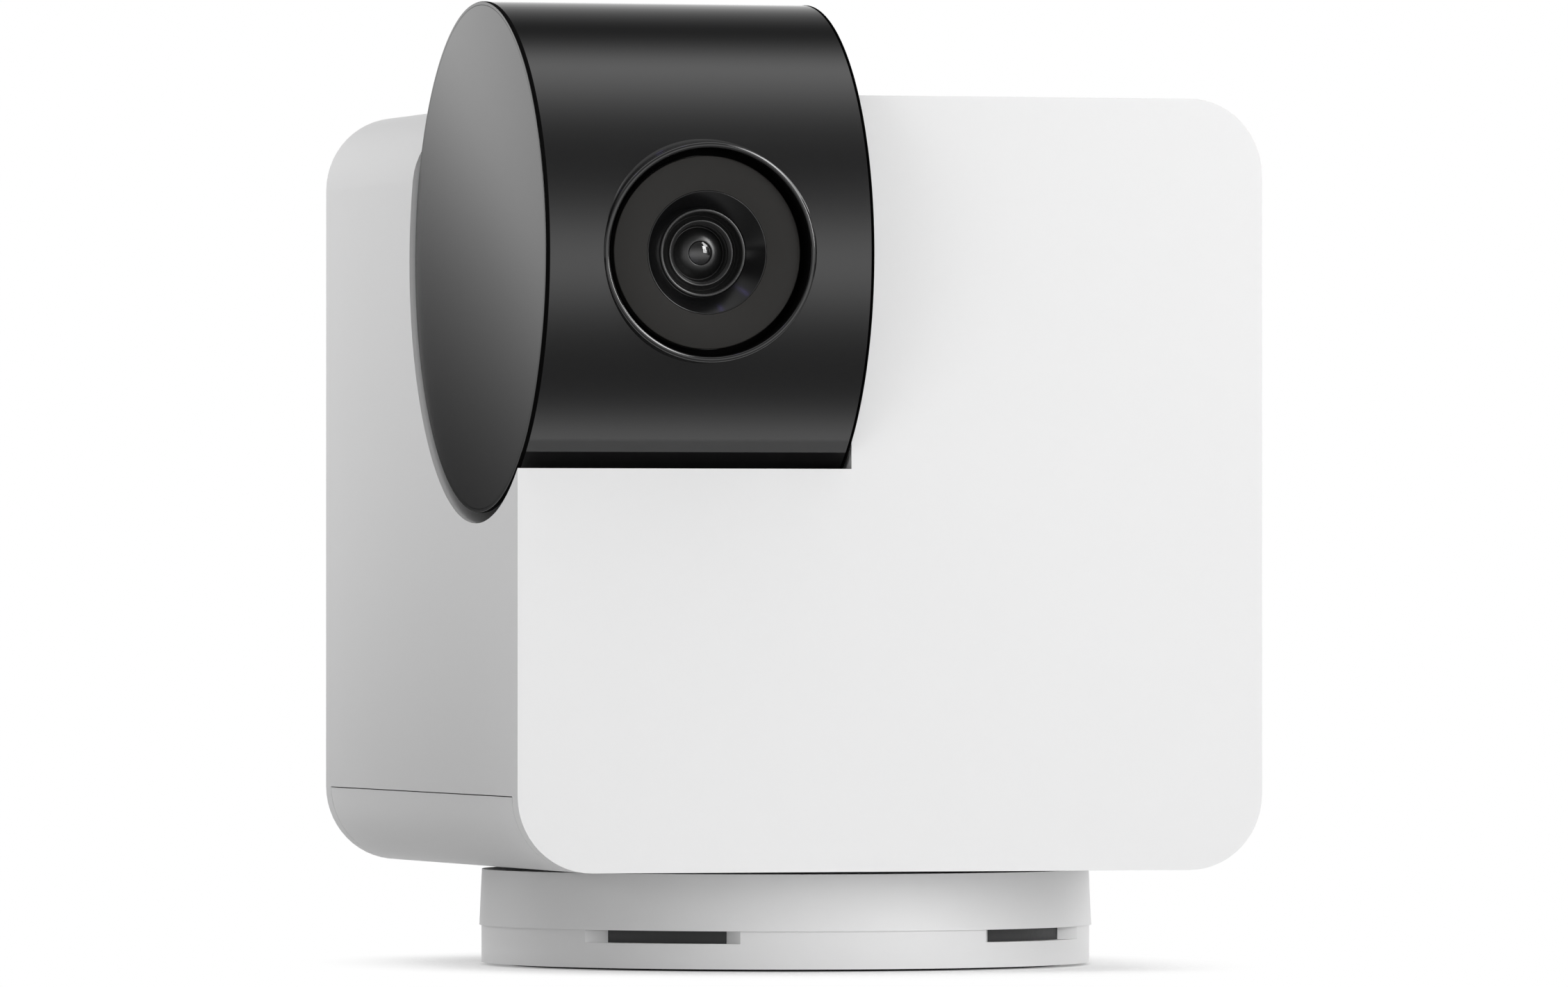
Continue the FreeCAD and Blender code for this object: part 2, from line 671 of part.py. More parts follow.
def make_main_shell():
    skin = cut(make_cube_outside(), make_cube_inside())
    cover_space = block("body_width", "body_depth - 2 * wall", "body_corner", "-body_width / 2",
                        f"-{rear_inside}", body_bottom)
    pocket_outer = common(rod(f"{pocket_radius} + pocket_wall", f"{pocket_end} + wall + body_width / 2",
                              "-body_width / 2", head_y, head_z, "X"), make_cube_outside())
    tilt_boss = rod("hub_radius + running_gap + tilt_bush_wall + tilt_boss_wall", "tilt_bush_length",
                    pocket_end, head_y, head_z, "X")
    stand_length = f"({tilt_motor_x} - motor_ear - {pocket_end})"
    stands = [rod("motor_boss_radius", stand_length, pocket_end, *tilt_place(side, tilt_motor_reach), "X")
              for side in ("motor_hole_reach", "-motor_hole_reach")]
    shell_bosses = [rod("shell_boss_radius", "shell_boss_rise", x, y, frame_top)
                    for x, y in corners_of(shell_boss_x, shell_boss_y)]
    board_posts = [rod("board_post_radius", "board_post + wall / 2", x, board_back, z, "Y")
                   for x, z in board_holes()]
    bosses_inside = [common(boss, make_cube_outside()) for boss in shell_bosses]
    solid = fuse(cut(skin, cover_space), pocket_outer, tilt_boss, *stands, *bosses_inside, *board_posts)
    pocket = rod(pocket_radius, f"{pocket_end} + body_width", "-body_width", head_y, head_z, "X")
    hub_way = rod("hub_radius + running_gap + tilt_bush_wall + glue_gap", "tilt_bush_length + wall",
                  f"{pocket_end} - wall", head_y, head_z, "X")
    stand_taps = [rod(tap_radius, "screw_bite", f"{tilt_motor_x} - motor_ear - screw_bite",
                      *tilt_place(side, tilt_motor_reach), "X")
                  for side in ("motor_hole_reach", "-motor_hole_reach")]
    shell_taps = [rod(tap_radius, "screw_bite", x, y, frame_top)
                  for x, y in corners_of(shell_boss_x, shell_boss_y)]
    board_taps = [rod(tap_radius, "screw_bite", x, board_back, z, "Y") for x, z in board_holes()]
    inlet_low = f"{rear_row_z} - socket_thickness / 2 - inlet_margin"
    inlet = rounded_block("socket_width + 2 * inlet_margin", "wall", "socket_thickness + 2 * inlet_margin",
                          "-socket_width / 2 - inlet_margin", rear_inside, inlet_low,
                          "socket_corner + inlet_margin")
    light_hole = rod("light_radius + glue_gap", "wall", light_x, rear_inside, rear_row_z, "Y")
    button_hole = rod("button_radius + running_gap", "wall", button_x, rear_inside, rear_row_z, "Y")
    sound_hole = rod("microphone_hole_radius", "wall", microphone_x, rear_inside, speaker_z, "Y")
    shell = cut(solid, pocket, hub_way, *stand_taps, *shell_taps, *board_taps, inlet, light_hole,
                button_hole, sound_hole, *grille_holes())
    node(shell, "main_shell")


def make_bottom_cover():
    """The bottom with the two lower corners, held between the front and rear walls."""
    skin = cut(make_cube_outside(), make_cube_inside())
    span = block("body_width", f"2 * ({rear_inside} - panel_seam)", "body_corner - panel_seam",
                 "-body_width / 2", f"panel_seam - {rear_inside}", body_bottom)
    turntable = rod("post_flange_radius + cover_hole_gap", "wall", "0", "0", body_bottom)
    legs = corners_of("frame_leg_reach", "frame_leg_reach")
    passes = [rod(pass_radius, "wall", x, y, body_bottom) for x, y in legs]
    seats = [rod("screw_head_radius + side_play", "screw_head", x, y, body_bottom) for x, y in legs]
    node(cut(common(skin, span), turntable, *passes, *seats), "bottom_cover")


def make_inner_frame():
    reach_x = f"({side_inside} - frame_gap)"
    reach_y = f"({rear_inside} - frame_gap)"
    plate = block(f"2 * {reach_x}", f"2 * {reach_y}", "frame_plate", f"-{reach_x}", f"-{reach_y}",
                  frame_bottom)
    bore = "(post_radius + running_gap + pan_bush_wall + glue_gap)"
    flange_top_z = f"({bush_bottom} + bush_flange)"
    boss = rod(f"{bore} + bush_boss_wall", "pan_bush_length - bush_flange", "0", "0", flange_top_z)
    leg_rise = f"({frame_bottom} - {floor_inside})"
    legs = [rod("frame_leg_radius", leg_rise, x, y, floor_inside)
            for x, y in corners_of("frame_leg_reach", "frame_leg_reach")]
    bush_way = rod(bore, "pan_bush_length", "0", "0", bush_bottom)
    flange_way = rod("bush_flange_radius + running_gap", "bush_flange", "0", "0", bush_bottom)
    shaft_way = rod("motor_boss_radius + side_play", "frame_plate", *pan_place("0", pan_reach),
                    frame_bottom)
    leg_taps = [rod(tap_radius, "screw_bite", x, y, floor_inside)
                for x, y in corners_of("frame_leg_reach", "frame_leg_reach")]
    shell_passes = [rod(pass_radius, "frame_plate", x, y, frame_bottom)
                    for x, y in corners_of(shell_boss_x, shell_boss_y)]
    motor_taps = [rod(tap_radius, "frame_plate", *pan_place(side, pan_motor_reach), frame_bottom)
                  for side in ("motor_hole_reach", "-motor_hole_reach")]
    node(cut(fuse(plate, boss, *legs), bush_way, flange_way, shaft_way, *leg_taps, *shell_passes,
             *motor_taps), "inner_frame")
    inner = "(post_radius + running_gap)"
    outer = f"({inner} + pan_bush_wall)"
    node(turned([(inner, bush_bottom), ("bush_flange_radius", bush_bottom),
                 ("bush_flange_radius", flange_top_z), (outer, flange_top_z), (outer, bush_top),
                 (inner, bush_top)]), "pan_bush")
    node(group(*[screw(x, y, body_bottom, "Z", "screw_head + screw_bite")
                 for x, y in corners_of("frame_leg_reach", "frame_leg_reach")]), "cover_screws")
    node(group(*[screw(x, y, f"{frame_bottom} - screw_head", "Z",
                       "screw_head + frame_plate + screw_bite - tap_end")
                 for x, y in corners_of(shell_boss_x, shell_boss_y)]), "shell_screws")


def motor(can_x, can_y, shaft_x, shaft_y):
    """A geared motor that stands on Z = 0, with its shaft boss pointing down."""
    can = rod("motor_radius", "motor_length", can_x, can_y, "0")
    ears = block("2 * motor_ear_reach", "motor_ear_width", "motor_ear",
                 f"{can_x} - motor_ear_reach", f"{can_y} - motor_ear_width / 2", "-motor_ear")
    cap = block("motor_cap_width", "motor_radius + motor_cap_depth", "motor_length / 2",
                f"{can_x} - motor_cap_width / 2", can_y, "motor_length / 4")
    boss = rod("motor_boss_radius", "motor_ear + motor_ear", shaft_x, shaft_y, "-2 * motor_ear")
    plate = rod("motor_radius", "motor_ear", can_x, can_y, "-motor_ear")
    bore = rod("motor_shaft_radius + running_gap", "motor_shaft_depth + 2 * motor_ear + running_gap",
               shaft_x, shaft_y, "-2 * motor_ear")
    holes = [rod(pass_radius, "motor_ear", f"{can_x} + {side}", can_y, "-motor_ear")
             for side in ("motor_hole_reach", "-motor_hole_reach")]
    return cut(fuse(can, ears, cap, boss, plate), bore, *holes)


def make_pan_drive():
    # The motor is built towards its own Y, so a quarter turn back brings that to X first.
    out = FreeCAD.Rotation(FreeCAD.Vector(0, 0, 1), value("pan_drive_angle"))
    body = motor("0", pan_motor_reach, "0", pan_reach)
    body.Placement.Rotation = out * FreeCAD.Rotation(FreeCAD.Vector(0, 0, 1), -QUARTER)
    body.setExpression(".Placement.Base.z", bound(f"{frame_top} + motor_ear"))
    node(body, "pan_motor")
    pinion_length = value("gear_face") - 2 * value("pinion_inset")
    wheel = gear("pinion_teeth", value("motor_shaft_radius") + value("glue_gap"), pinion_length, 0.5)
    wheel.Placement.Rotation = out
    drive_x, drive_y = pan_place("0", pan_reach)
    wheel.setExpression(".Placement.Base.x", bound(drive_x))
    wheel.setExpression(".Placement.Base.y", bound(drive_y))
    wheel.setExpression(".Placement.Base.z", bound(f"{flange_top} + pinion_inset"))
    node(wheel, "pan_pinion")
    shaft_length = f"({frame_top} + motor_ear + motor_shaft_depth - {flange_top} - pinion_inset)"
    node(rod("motor_shaft_radius", shaft_length, drive_x, drive_y, f"{flange_top} + pinion_inset"),
         "pan_motor_shaft")


def tilt_frame(thing, x):
    """Moves a piece onto the tilt axis, at an x formula, and keeps its turn."""
    thing.setExpression(".Placement.Base.x", bound(x))
    thing.setExpression(".Placement.Base.y", bound(head_y))
    thing.setExpression(".Placement.Base.z", bound(head_z))
    return thing


def make_tilt_drive():
    # A piece built along Z is laid along X, which turns its own X down. The lean then
    # swings what hangs below the tilt axis up behind it. The motor is built towards its
    # own Y, so a quarter turn brings that to X first.
    laid = FreeCAD.Rotation(FreeCAD.Vector(1, 0, 0), value("tilt_drive_angle")) * TURNS["X"]
    body = motor("0", tilt_motor_reach, "0", tilt_reach)
    body.Placement.Rotation = laid * FreeCAD.Rotation(FreeCAD.Vector(0, 0, 1), -QUARTER)
    node(tilt_frame(body, tilt_motor_x), "tilt_motor")
    pinion_length = value("gear_face") - 2 * value("pinion_inset")
    pinion = gear("pinion_teeth", value("motor_shaft_radius") + value("glue_gap"), pinion_length, 0.5)
    pinion.Placement.Rotation = laid
    drive_y, drive_z = tilt_place("0", tilt_reach)
    pinion.setExpression(".Placement.Base.x", bound(f"{tilt_gear_start} + pinion_inset"))
    pinion.setExpression(".Placement.Base.y", bound(drive_y))
    pinion.setExpression(".Placement.Base.z", bound(drive_z))
    node(pinion, "tilt_pinion")
    shaft_length = f"({tilt_motor_x} + motor_shaft_depth - {tilt_gear_start} - pinion_inset)"
    node(rod("motor_shaft_radius", shaft_length, f"{tilt_gear_start} + pinion_inset", drive_y, drive_z,
             "X"), "tilt_motor_shaft")
    wheel = gear("tilt_gear_teeth", value("hub_radius") + value("glue_gap"), value("gear_face"), 0)
    wheel.Placement.Rotation = laid
    node(tilt_frame(wheel, tilt_gear_start), "tilt_gear")


def make_motor_screws():
    sides = ("motor_hole_reach", "-motor_hole_reach")
    pan = [screw(*pan_place(side, pan_motor_reach), f"{frame_top} + motor_ear + screw_head", "-Z",
                 "screw_head + motor_ear + frame_plate - side_play") for side in sides]
    tilt = [screw(f"{tilt_motor_x} + screw_head", *tilt_place(side, tilt_motor_reach), "-X",
                  "screw_head + motor_ear + screw_bite - tap_end") for side in sides]
    node(group(*pan, *tilt), "motor_screws")


def make_tilt_bearing():
    inner = "(hub_radius + running_gap)"
    outer = f"({inner} + tilt_bush_wall)"
    length = "tilt_bush_length"
    node(turned([(inner, "0"), (outer, "0"), (outer, length), ("bush_flange_radius", length),
                 ("bush_flange_radius", f"{length} + bush_flange"), (inner, f"{length} + bush_flange")],
                pocket_end, head_y, head_z, "X"), "tilt_bush")
    groove = "(hub_radius - clip_groove)"
    ring = tube("clip_radius - post_radius + hub_radius", f"{groove} + glue_gap", "clip_thickness",
                hub_clip_start, head_y, head_z, "X")
    mouth = block("clip_thickness", "clip_mouth - post_radius + hub_radius", "clip_radius", hub_clip_start,
                  f"{head_y} - (clip_mouth - post_radius + hub_radius) / 2", head_z)
    node(cut(ring, mouth), "hub_clip")


def make_board():
    plate = middle_block(board_width, "board_thickness", board_rise, "0", board_front, board_middle)
    holes = [rod(pass_radius, "board_thickness", x, board_front, z, "Y") for x, z in board_holes()]
    connector = middle_block("plug_width", "plug_depth", "plug_rise",
                             f"({ribbon_reach} + ribbon_thickness / 2)", f"{board_front} - plug_depth",
                             head_z)
    node(cut(fuse(plate, connector), *holes), "main_board")
    node(group(*[screw(x, f"{board_front} - screw_head", z, "Y",
                       "screw_head + board_thickness + screw_bite - tap_end")
                 for x, z in board_holes()]), "board_screws")
    node(middle_block("can_width", "can_depth", "can_rise", "(can_width / 2 - can_left)",
                      f"{board_front} - can_depth", board_middle), "shield_can")
    radio_x = f"({board_width} / 2 - radio_edge - radio_width / 2)"
    node(middle_block("radio_width", "radio_depth", "radio_rise", radio_x, f"{board_front} - radio_depth",
                      board_middle), "radio_module")
    node(block("antenna_thickness", "antenna_length", "antenna_rise", f"{side_inside} - antenna_thickness",
               "-antenna_length / 2", f"{board_middle} - antenna_rise / 2"), "antenna")


def make_rear_sockets():
    mouth_y = "(body_depth / 2 - socket_inset)"
    length = f"({mouth_y} - {board_back})"
    case = rounded_block("socket_width", length, "socket_thickness", "-socket_width / 2", board_back,
                         f"{rear_row_z} - socket_thickness / 2", "socket_corner")
    hollow = rounded_block("socket_width - 2 * socket_skin", f"{length} - socket_back",
                           "socket_thickness - 2 * socket_skin", "socket_skin - socket_width / 2",
                           f"{board_back} + socket_back",
                           f"{rear_row_z} - socket_thickness / 2 + socket_skin",
                           "socket_corner - socket_skin")
    tongue = middle_block("socket_tongue_width", f"{length} - socket_inset", "socket_tongue",
                          "0", board_back, rear_row_z)
    node(fuse(cut(case, hollow), tongue), "usb_socket")
    node(rod("light_radius", "board_post + wall", light_x, board_back, rear_row_z, "Y"), "status_light_pipe")
    collar_y = f"({rear_inside} - side_play - button_collar)"
    stem_y = f"({board_back} + switch_depth + plunger_rise + button_travel + running_gap)"
    stem = rod("button_radius", f"body_depth / 2 - button_sink - {stem_y}", button_x, stem_y, rear_row_z, "Y")
    collar = rod("button_collar_radius", "button_collar", button_x, collar_y, rear_row_z, "Y")
    node(fuse(stem, collar), "reset_button")
    case = middle_block("switch_width", "switch_depth", "switch_width", button_x, board_back, rear_row_z)
    plunger = rod("plunger_radius", "switch_depth + plunger_rise", button_x, board_back, rear_row_z, "Y")
    node(fuse(case, plunger), "reset_switch")


def make_sound_parts():
    gasket_y = f"({rear_inside} - gasket_thickness)"
    node(tube("speaker_radius", "speaker_radius - gasket_width", "gasket_thickness", "speaker_x", gasket_y,
              speaker_z, "Y"), "speaker_gasket")
    speaker_y = f"({gasket_y} - speaker_depth)"
    basket = rod("speaker_radius", "speaker_depth", "speaker_x", speaker_y, speaker_z, "Y")
    magnet = rod("magnet_radius", "magnet_depth", "speaker_x", f"{speaker_y} - magnet_depth", speaker_z, "Y")
    node(fuse(basket, magnet), "speaker")
    node(middle_block("microphone_width", "microphone_depth", "microphone_width", microphone_x, board_back,
                      speaker_z), "microphone")
    node(tube("boot_radius", "microphone_hole_radius", "board_post - microphone_depth", microphone_x,
              f"{board_back} + microphone_depth", speaker_z, "Y"), "microphone_boot")


def make_ribbon():
    """The flat cable from the drum's hollow hub to the main board."""
    start = tilt_boss_end
    near = ribbon_reach
    far = f"({ribbon_reach} + ribbon_thickness)"
    low = f"({head_y} - ribbon_thickness / 2)"
    high = f"({head_y} + ribbon_thickness / 2)"
    end = f"({board_front} - plug_depth)"
    corners = [(start, low), (f"{far} - ribbon_bend", low), (far, f"{low} + ribbon_bend"), (far, end),
               (near, end), (near, f"{high} + ribbon_bend"), (f"{near} - ribbon_bend", high),
               (start, high)]
    node(prism(corners, "ribbon_rise", "0", "0", f"{head_z} - ribbon_rise / 2"), "head_cable")


def make_drum():
    hollow = "(head_radius - head_wall)"
    rebate = "(head_radius - head_rim)"
    seat = "(cap_thickness + glue_gap)"
    far = f"(head_length - {seat})"
    edge = "(head_radius - head_edge)"
    drum = turned([(hollow, seat), (rebate, seat), (rebate, "0"), (edge, "0"), ("head_radius", "head_edge"),
                   ("head_radius", "head_length - head_edge"), (edge, "head_length"),
                   (rebate, "head_length"), (rebate, far), (hollow, far)],
                  head_left, head_y, head_z, "X")
    window = rod("bezel_radius + glue_gap", "head_radius", lens_x, f"{head_y} - head_radius - wall",
                 head_z, "Y")
    node(cut(drum, window), "head_shell")
    cap_radius = f"({rebate} - glue_gap)"
    node(rod(cap_radius, "cap_thickness", head_left, head_y, head_z, "X"), "head_end_cap")
    cap_start = f"({head_right} - cap_thickness)"
    groove = "(hub_radius - clip_groove)"
    clip_start = f"({hub_clip_start} - {cap_start})"
    clip_end = f"({clip_start} + clip_thickness + running_gap)"
    length = f"({hub_end} - {cap_start})"
    node(turned([("hub_bore_radius", "0"), (cap_radius, "0"), (cap_radius, "cap_thickness"),
                 ("hub_radius", "cap_thickness"), ("hub_radius", clip_start), (groove, clip_start),
                 (groove, clip_end), ("hub_radius", clip_end), ("hub_radius", length),
                 ("hub_bore_radius", length)], cap_start, head_y, head_z, "X"), "head_hub_cap")


def lens_turned(corners):
    """A turned piece on the lens axis: heights run back from the bezel's front."""
    return turned(corners, lens_x, bezel_front, head_z, "Y")


def make_bezel():
    shelf = "(window_sink + window_thickness)"
    flange = "(bezel_depth - bezel_flange)"
    ring = lens_turned([("bezel_bore_radius", "bezel_lip"), ("bezel_bore_radius + bezel_lip", "0"),
                        ("bezel_radius - bezel_lip", "0"), ("bezel_radius", "bezel_lip"),
                        ("bezel_radius", flange),
                        ("bezel_flange_radius", flange), ("bezel_flange_radius", "bezel_depth"),
                        ("bezel_shelf_radius", "bezel_depth"), ("bezel_shelf_radius", shelf),
                        ("bezel_bore_radius", shelf)])
    drum_inside = rod("head_radius - head_wall - glue_gap", "head_length", head_left, head_y, head_z, "X")
    front = rod("bezel_radius", "bezel_depth", lens_x, bezel_front, head_z, "Y")
    node(common(ring, fuse(drum_inside, front)), "lens_bezel")
    node(tube("window_radius", "barrel_radius + glue_gap", "window_thickness", lens_x, window_front, head_z,
              "Y"), "night_window")
    node(tube("led_board_radius", "barrel_radius + led_board_bore_gap", "led_board_thickness", lens_x,
              bezel_back, head_z, "Y"), "night_light_board")
    lights = []
    for angle in (45, 135, 225, 315):
        x = f"({lens_x} + led_circle * cos({angle}))"
        z = f"({head_z} + led_circle * sin({angle}))"
        lights.append(middle_block("led_width", "led_depth", "led_width", x, f"{bezel_back} - led_depth", z))
    node(group(*lights), "night_lights")


def make_lens():
    start = "window_sink"
    cone = f"({start} + cone_depth)"
    ring = f"({cone} + lens_ring_thickness)"
    tip = f"({ring} + nose_sink)"
    bowl = f"({ring} + nose_bowl)"
    nose = f"({ring} + nose_thickness)"
    back = f"({start} + barrel_length)"
    seat = f"({back} - rear_lens_thickness)"
    bore = "rear_lens_radius"
    ring_seat = "(cone_floor_radius + glue_gap)"
    # The barrel: a cone mouth, a seat for the ring and the nose, and a bore for the glass.
    stop = f"({bore} - rear_lens_shelf)"
    node(lens_turned([("barrel_radius", start), ("barrel_radius", back), (f"{bore} + glue_gap", back),
                      (f"{bore} + glue_gap", seat), (stop, seat), (stop, nose), (ring_seat, nose),
                      (ring_seat, cone), ("barrel_radius - glue_gap", start)]), "lens_barrel")
    node(lens_turned([("lens_ring_bore_radius", cone), ("cone_floor_radius", cone),
                      ("cone_floor_radius", ring), ("lens_ring_bore_radius", ring)]), "lens_ring")
    node(lens_turned([("pupil_radius", tip), ("nose_foot_radius", bowl),
                      ("lens_ring_bore_radius - glue_gap", ring), ("cone_floor_radius", ring),
                      ("cone_floor_radius", nose), ("pupil_radius", nose)]),
         "lens_nose")
    node(lens_turned([("0", tip), ("pupil_radius - glue_gap", f"{tip} + glue_gap"),
                      ("pupil_radius - glue_gap", f"{tip} + lens_thickness"),
                      ("0", f"{tip} + lens_thickness")]), "front_lens")
    node(lens_turned([("0", seat), ("rear_lens_radius", seat), ("rear_lens_radius", back), ("0", back)]),
         "rear_lens")


def make_sensor():
    holder_start = f"({sensor_board_front} - holder_length)"
    foot_start = f"({sensor_board_front} - holder_foot_rise)"
    neck = rod("barrel_radius + glue_gap + holder_wall", "holder_length", lens_x, holder_start, head_z, "Y")
    foot = middle_block("holder_foot", "holder_foot_rise", "holder_foot", lens_x, foot_start, head_z)
    filter_space = middle_block("filter_width + 2 * glue_gap",
                                f"{sensor_board_front} - {filter_front}", "filter_width + 2 * glue_gap",
                                lens_x, filter_front, head_z)
    bore = rod("barrel_radius + glue_gap", f"{filter_front} - {holder_start}", lens_x, holder_start,
               head_z, "Y")
    node(cut(fuse(neck, foot), bore, filter_space), "lens_holder")
    node(middle_block("filter_width", "filter_thickness", "filter_width", lens_x, filter_front, head_z),
         "infrared_filter")
    node(middle_block("sensor_width", "sensor_depth", "sensor_rise", lens_x, sensor_front, head_z),
         "image_sensor")
    reach_x = "(sensor_board_width / 2 - sensor_screw_inset)"
    reach_z = "(sensor_board_rise / 2 - sensor_screw_inset)"
    spots = [(f"{lens_x} + {x}", f"{head_z} + {z}") for x, z in corners_of(reach_x, reach_z)]
    board = middle_block("sensor_board_width", "sensor_board_thickness", "sensor_board_rise", lens_x,
                         sensor_board_front, head_z)
    passes = [rod(pass_radius, "sensor_board_thickness", x, sensor_board_front, z, "Y") for x, z in spots]
    node(cut(board, *passes), "sensor_board")
    carrier_left = f"({lens_x} - sensor_board_width / 2 - carrier_margin)"
    carrier_length = f"({head_right} - cap_thickness - {carrier_left})"
    carrier = block(carrier_length, "carrier_thickness", "sensor_board_rise + 2 * carrier_margin",
                    carrier_left, sensor_board_back,
                    f"{head_z} - sensor_board_rise / 2 - carrier_margin")
    taps = [rod(tap_radius, "carrier_thickness", x, sensor_board_back, z, "Y") for x, z in spots]
    node(cut(carrier, *taps), "board_carrier")
    node(group(*[screw(x, f"{sensor_board_front} - screw_head", z, "Y",
                       "screw_head + sensor_board_thickness + carrier_thickness") for x, z in spots]),
         "sensor_screws")


def check_everything():
    """Stops the script if any object failed, or a sub-part has no valid solid."""
    for thing in doc.Objects:
        if "Invalid" in thing.State or "Error" in thing.State:
            raise RuntimeError(f"{thing.Name} {thing.Label} is {thing.State}")
    for thing in nodes:
        shape = thing.Shape
        if shape.isNull() or not shape.isValid() or not shape.Solids:
            raise RuntimeError(f"{thing.Label} has no valid solid")


make_foot_ring()
make_base_tray()
make_base_inside()
make_base_cover()
make_pan_post()
make_main_shell()
make_bottom_cover()
make_inner_frame()
make_pan_drive()
make_tilt_drive()
make_motor_screws()
make_tilt_bearing()
make_board()
make_rear_sockets()
make_sound_parts()
make_ribbon()
make_drum()
make_bezel()
make_lens()
make_sensor()
doc.recompute()
check_everything()
os.makedirs("parts", exist_ok=True)
for thing in nodes:
    thing.Shape.exportStep(f"parts/{thing.Label}.step")
    print(thing.Label, len(thing.Shape.Solids), round(thing.Shape.Volume, 1))
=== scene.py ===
import math

import bmesh
import bpy
import numpy as np
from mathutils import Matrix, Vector


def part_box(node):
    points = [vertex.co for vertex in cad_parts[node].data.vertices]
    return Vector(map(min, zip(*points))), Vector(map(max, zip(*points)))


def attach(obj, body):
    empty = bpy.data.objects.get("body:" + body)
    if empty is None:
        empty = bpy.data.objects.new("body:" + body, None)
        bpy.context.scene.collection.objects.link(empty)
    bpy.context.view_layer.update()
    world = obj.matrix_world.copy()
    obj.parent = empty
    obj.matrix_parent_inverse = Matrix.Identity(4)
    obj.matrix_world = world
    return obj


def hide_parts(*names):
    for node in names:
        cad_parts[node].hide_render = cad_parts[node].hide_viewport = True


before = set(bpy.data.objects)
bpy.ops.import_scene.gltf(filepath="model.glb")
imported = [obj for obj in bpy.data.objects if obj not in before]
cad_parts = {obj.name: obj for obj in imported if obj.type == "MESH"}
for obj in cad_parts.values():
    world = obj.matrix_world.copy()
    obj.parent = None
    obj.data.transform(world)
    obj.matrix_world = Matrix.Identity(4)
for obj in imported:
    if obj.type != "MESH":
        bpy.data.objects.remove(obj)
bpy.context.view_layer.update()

# Base tray and base cover. The two rings of the round foot, moulded in white ABS with a
# fine satin skin. The tray holds the ballast, and the cover is screwed down on its wall.


def add(tree, kind, inputs=None, **settings):
    """Adds a node, sets its properties, and sets or links its inputs by name or number."""
    node = tree.nodes.new(kind)
    for word, setting in settings.items():
        setattr(node, word, setting)
    for socket, source in (inputs or {}).items():
        if isinstance(source, bpy.types.NodeSocket):
            tree.links.new(source, node.inputs[socket])
        else:
            node.inputs[socket].default_value = source
    return node


def new_group(name, inputs, outputs):
    """An empty shader group with named sockets, its input node and its output node."""
    group = bpy.data.node_groups.new(name, "ShaderNodeTree")
    for label, kind, start in inputs:
        socket = group.interface.new_socket(label, in_out="INPUT", socket_type=kind)
        socket.default_value = start
    for label, kind in outputs:
        group.interface.new_socket(label, in_out="OUTPUT", socket_type=kind)
    return group, group.nodes.new("NodeGroupInput"), group.nodes.new("NodeGroupOutput")


def moulded_skin_group():
    """The skin of a moulded plastic: a faint drift of tone over centimetres, a fine spark grain
    of a third of a millimetre in roughness and height, and nothing else."""
    group, given, out = new_group(
        "moulded_skin",
        [("Color", "NodeSocketColor", (0.8, 0.8, 0.8, 1)), ("Drift", "NodeSocketFloat", 0.02),
         ("Roughness", "NodeSocketFloat", 0.4), ("Spread", "NodeSocketFloat", 0.1),
         ("Grain Size", "NodeSocketFloat", 3000.0)],
        [("Color", "NodeSocketColor"), ("Roughness", "NodeSocketFloat"), ("Height", "NodeSocketFloat")])
    place = add(group, "ShaderNodeTexCoord").outputs["Object"]
    broad = add(group, "ShaderNodeTexNoise", {"Vector": place, "Scale": 45.0, "Detail": 3.0})
    fine = add(group, "ShaderNodeTexNoise",
               {"Vector": place, "Scale": given.outputs["Grain Size"], "Detail": 2.0})
    fall = add(group, "ShaderNodeMath", {0: broad.outputs["Fac"], 1: given.outputs["Drift"]},
               operation="MULTIPLY")
    keep = add(group, "ShaderNodeMath", {0: 1.0, 1: fall.outputs[0]}, operation="SUBTRACT")
    tone = add(group, "ShaderNodeVectorMath", {0: given.outputs["Color"], "Scale": keep.outputs[0]},
               operation="SCALE")
    swing = add(group, "ShaderNodeMath", {0: fine.outputs["Fac"], 1: 0.5}, operation="SUBTRACT")
    rough = add(group, "ShaderNodeMath", {0: swing.outputs[0], 1: given.outputs["Spread"],
                                          2: given.outputs["Roughness"]}, operation="MULTIPLY_ADD")
    for label, source in (("Color", tone), ("Roughness", rough), ("Height", fine)):
        group.links.new(source.outputs[0], out.inputs[label])
    return group


moulded_skin = moulded_skin_group()


def new_material(name):
    """A material with one Principled shader: its tree and the shader."""
    material = bpy.data.materials.new(name)
    material.use_nodes = True
    tree = material.node_tree
    return material, tree, tree.nodes["Principled BSDF"]


def moulded(name, colour, drift, roughness, spread, grain_size, grain_depth, bend=1.5):
    """A moulded plastic: the skin group feeds colour, roughness and a shallow bump. The bend is
    the index of refraction, which sets how strongly the surface shines."""
    material, tree, shader = new_material(name)
    skin = add(tree, "ShaderNodeGroup", {}, node_tree=moulded_skin)
    for label, number in (("Color", (*colour, 1)), ("Drift", drift), ("Roughness", roughness),
                          ("Spread", spread), ("Grain Size", grain_size)):
        skin.inputs[label].default_value = number
    bump = add(tree, "ShaderNodeBump", {"Height": skin.outputs["Height"], "Strength": 1.0,
                                        "Distance": grain_depth})
    tree.links.new(skin.outputs["Color"], shader.inputs["Base Color"])
    tree.links.new(skin.outputs["Roughness"], shader.inputs["Roughness"])
    tree.links.new(bump.outputs["Normal"], shader.inputs["Normal"])
    shader.inputs["IOR"].default_value = bend
    return material


def dress(material, *names):
    """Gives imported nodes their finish; their meshes stay as they are."""
    for name in names:
        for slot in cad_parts[name].material_slots:
            slot.material = material


white_plastic = moulded("white_plastic_skin", (0.8, 0.8, 0.802), drift=0.012, roughness=0.42, spread=0.12,
                        grain_size=3200.0, grain_depth=0.000002, bend=1.3)
dress(white_plastic, "base_tray", "base_cover")

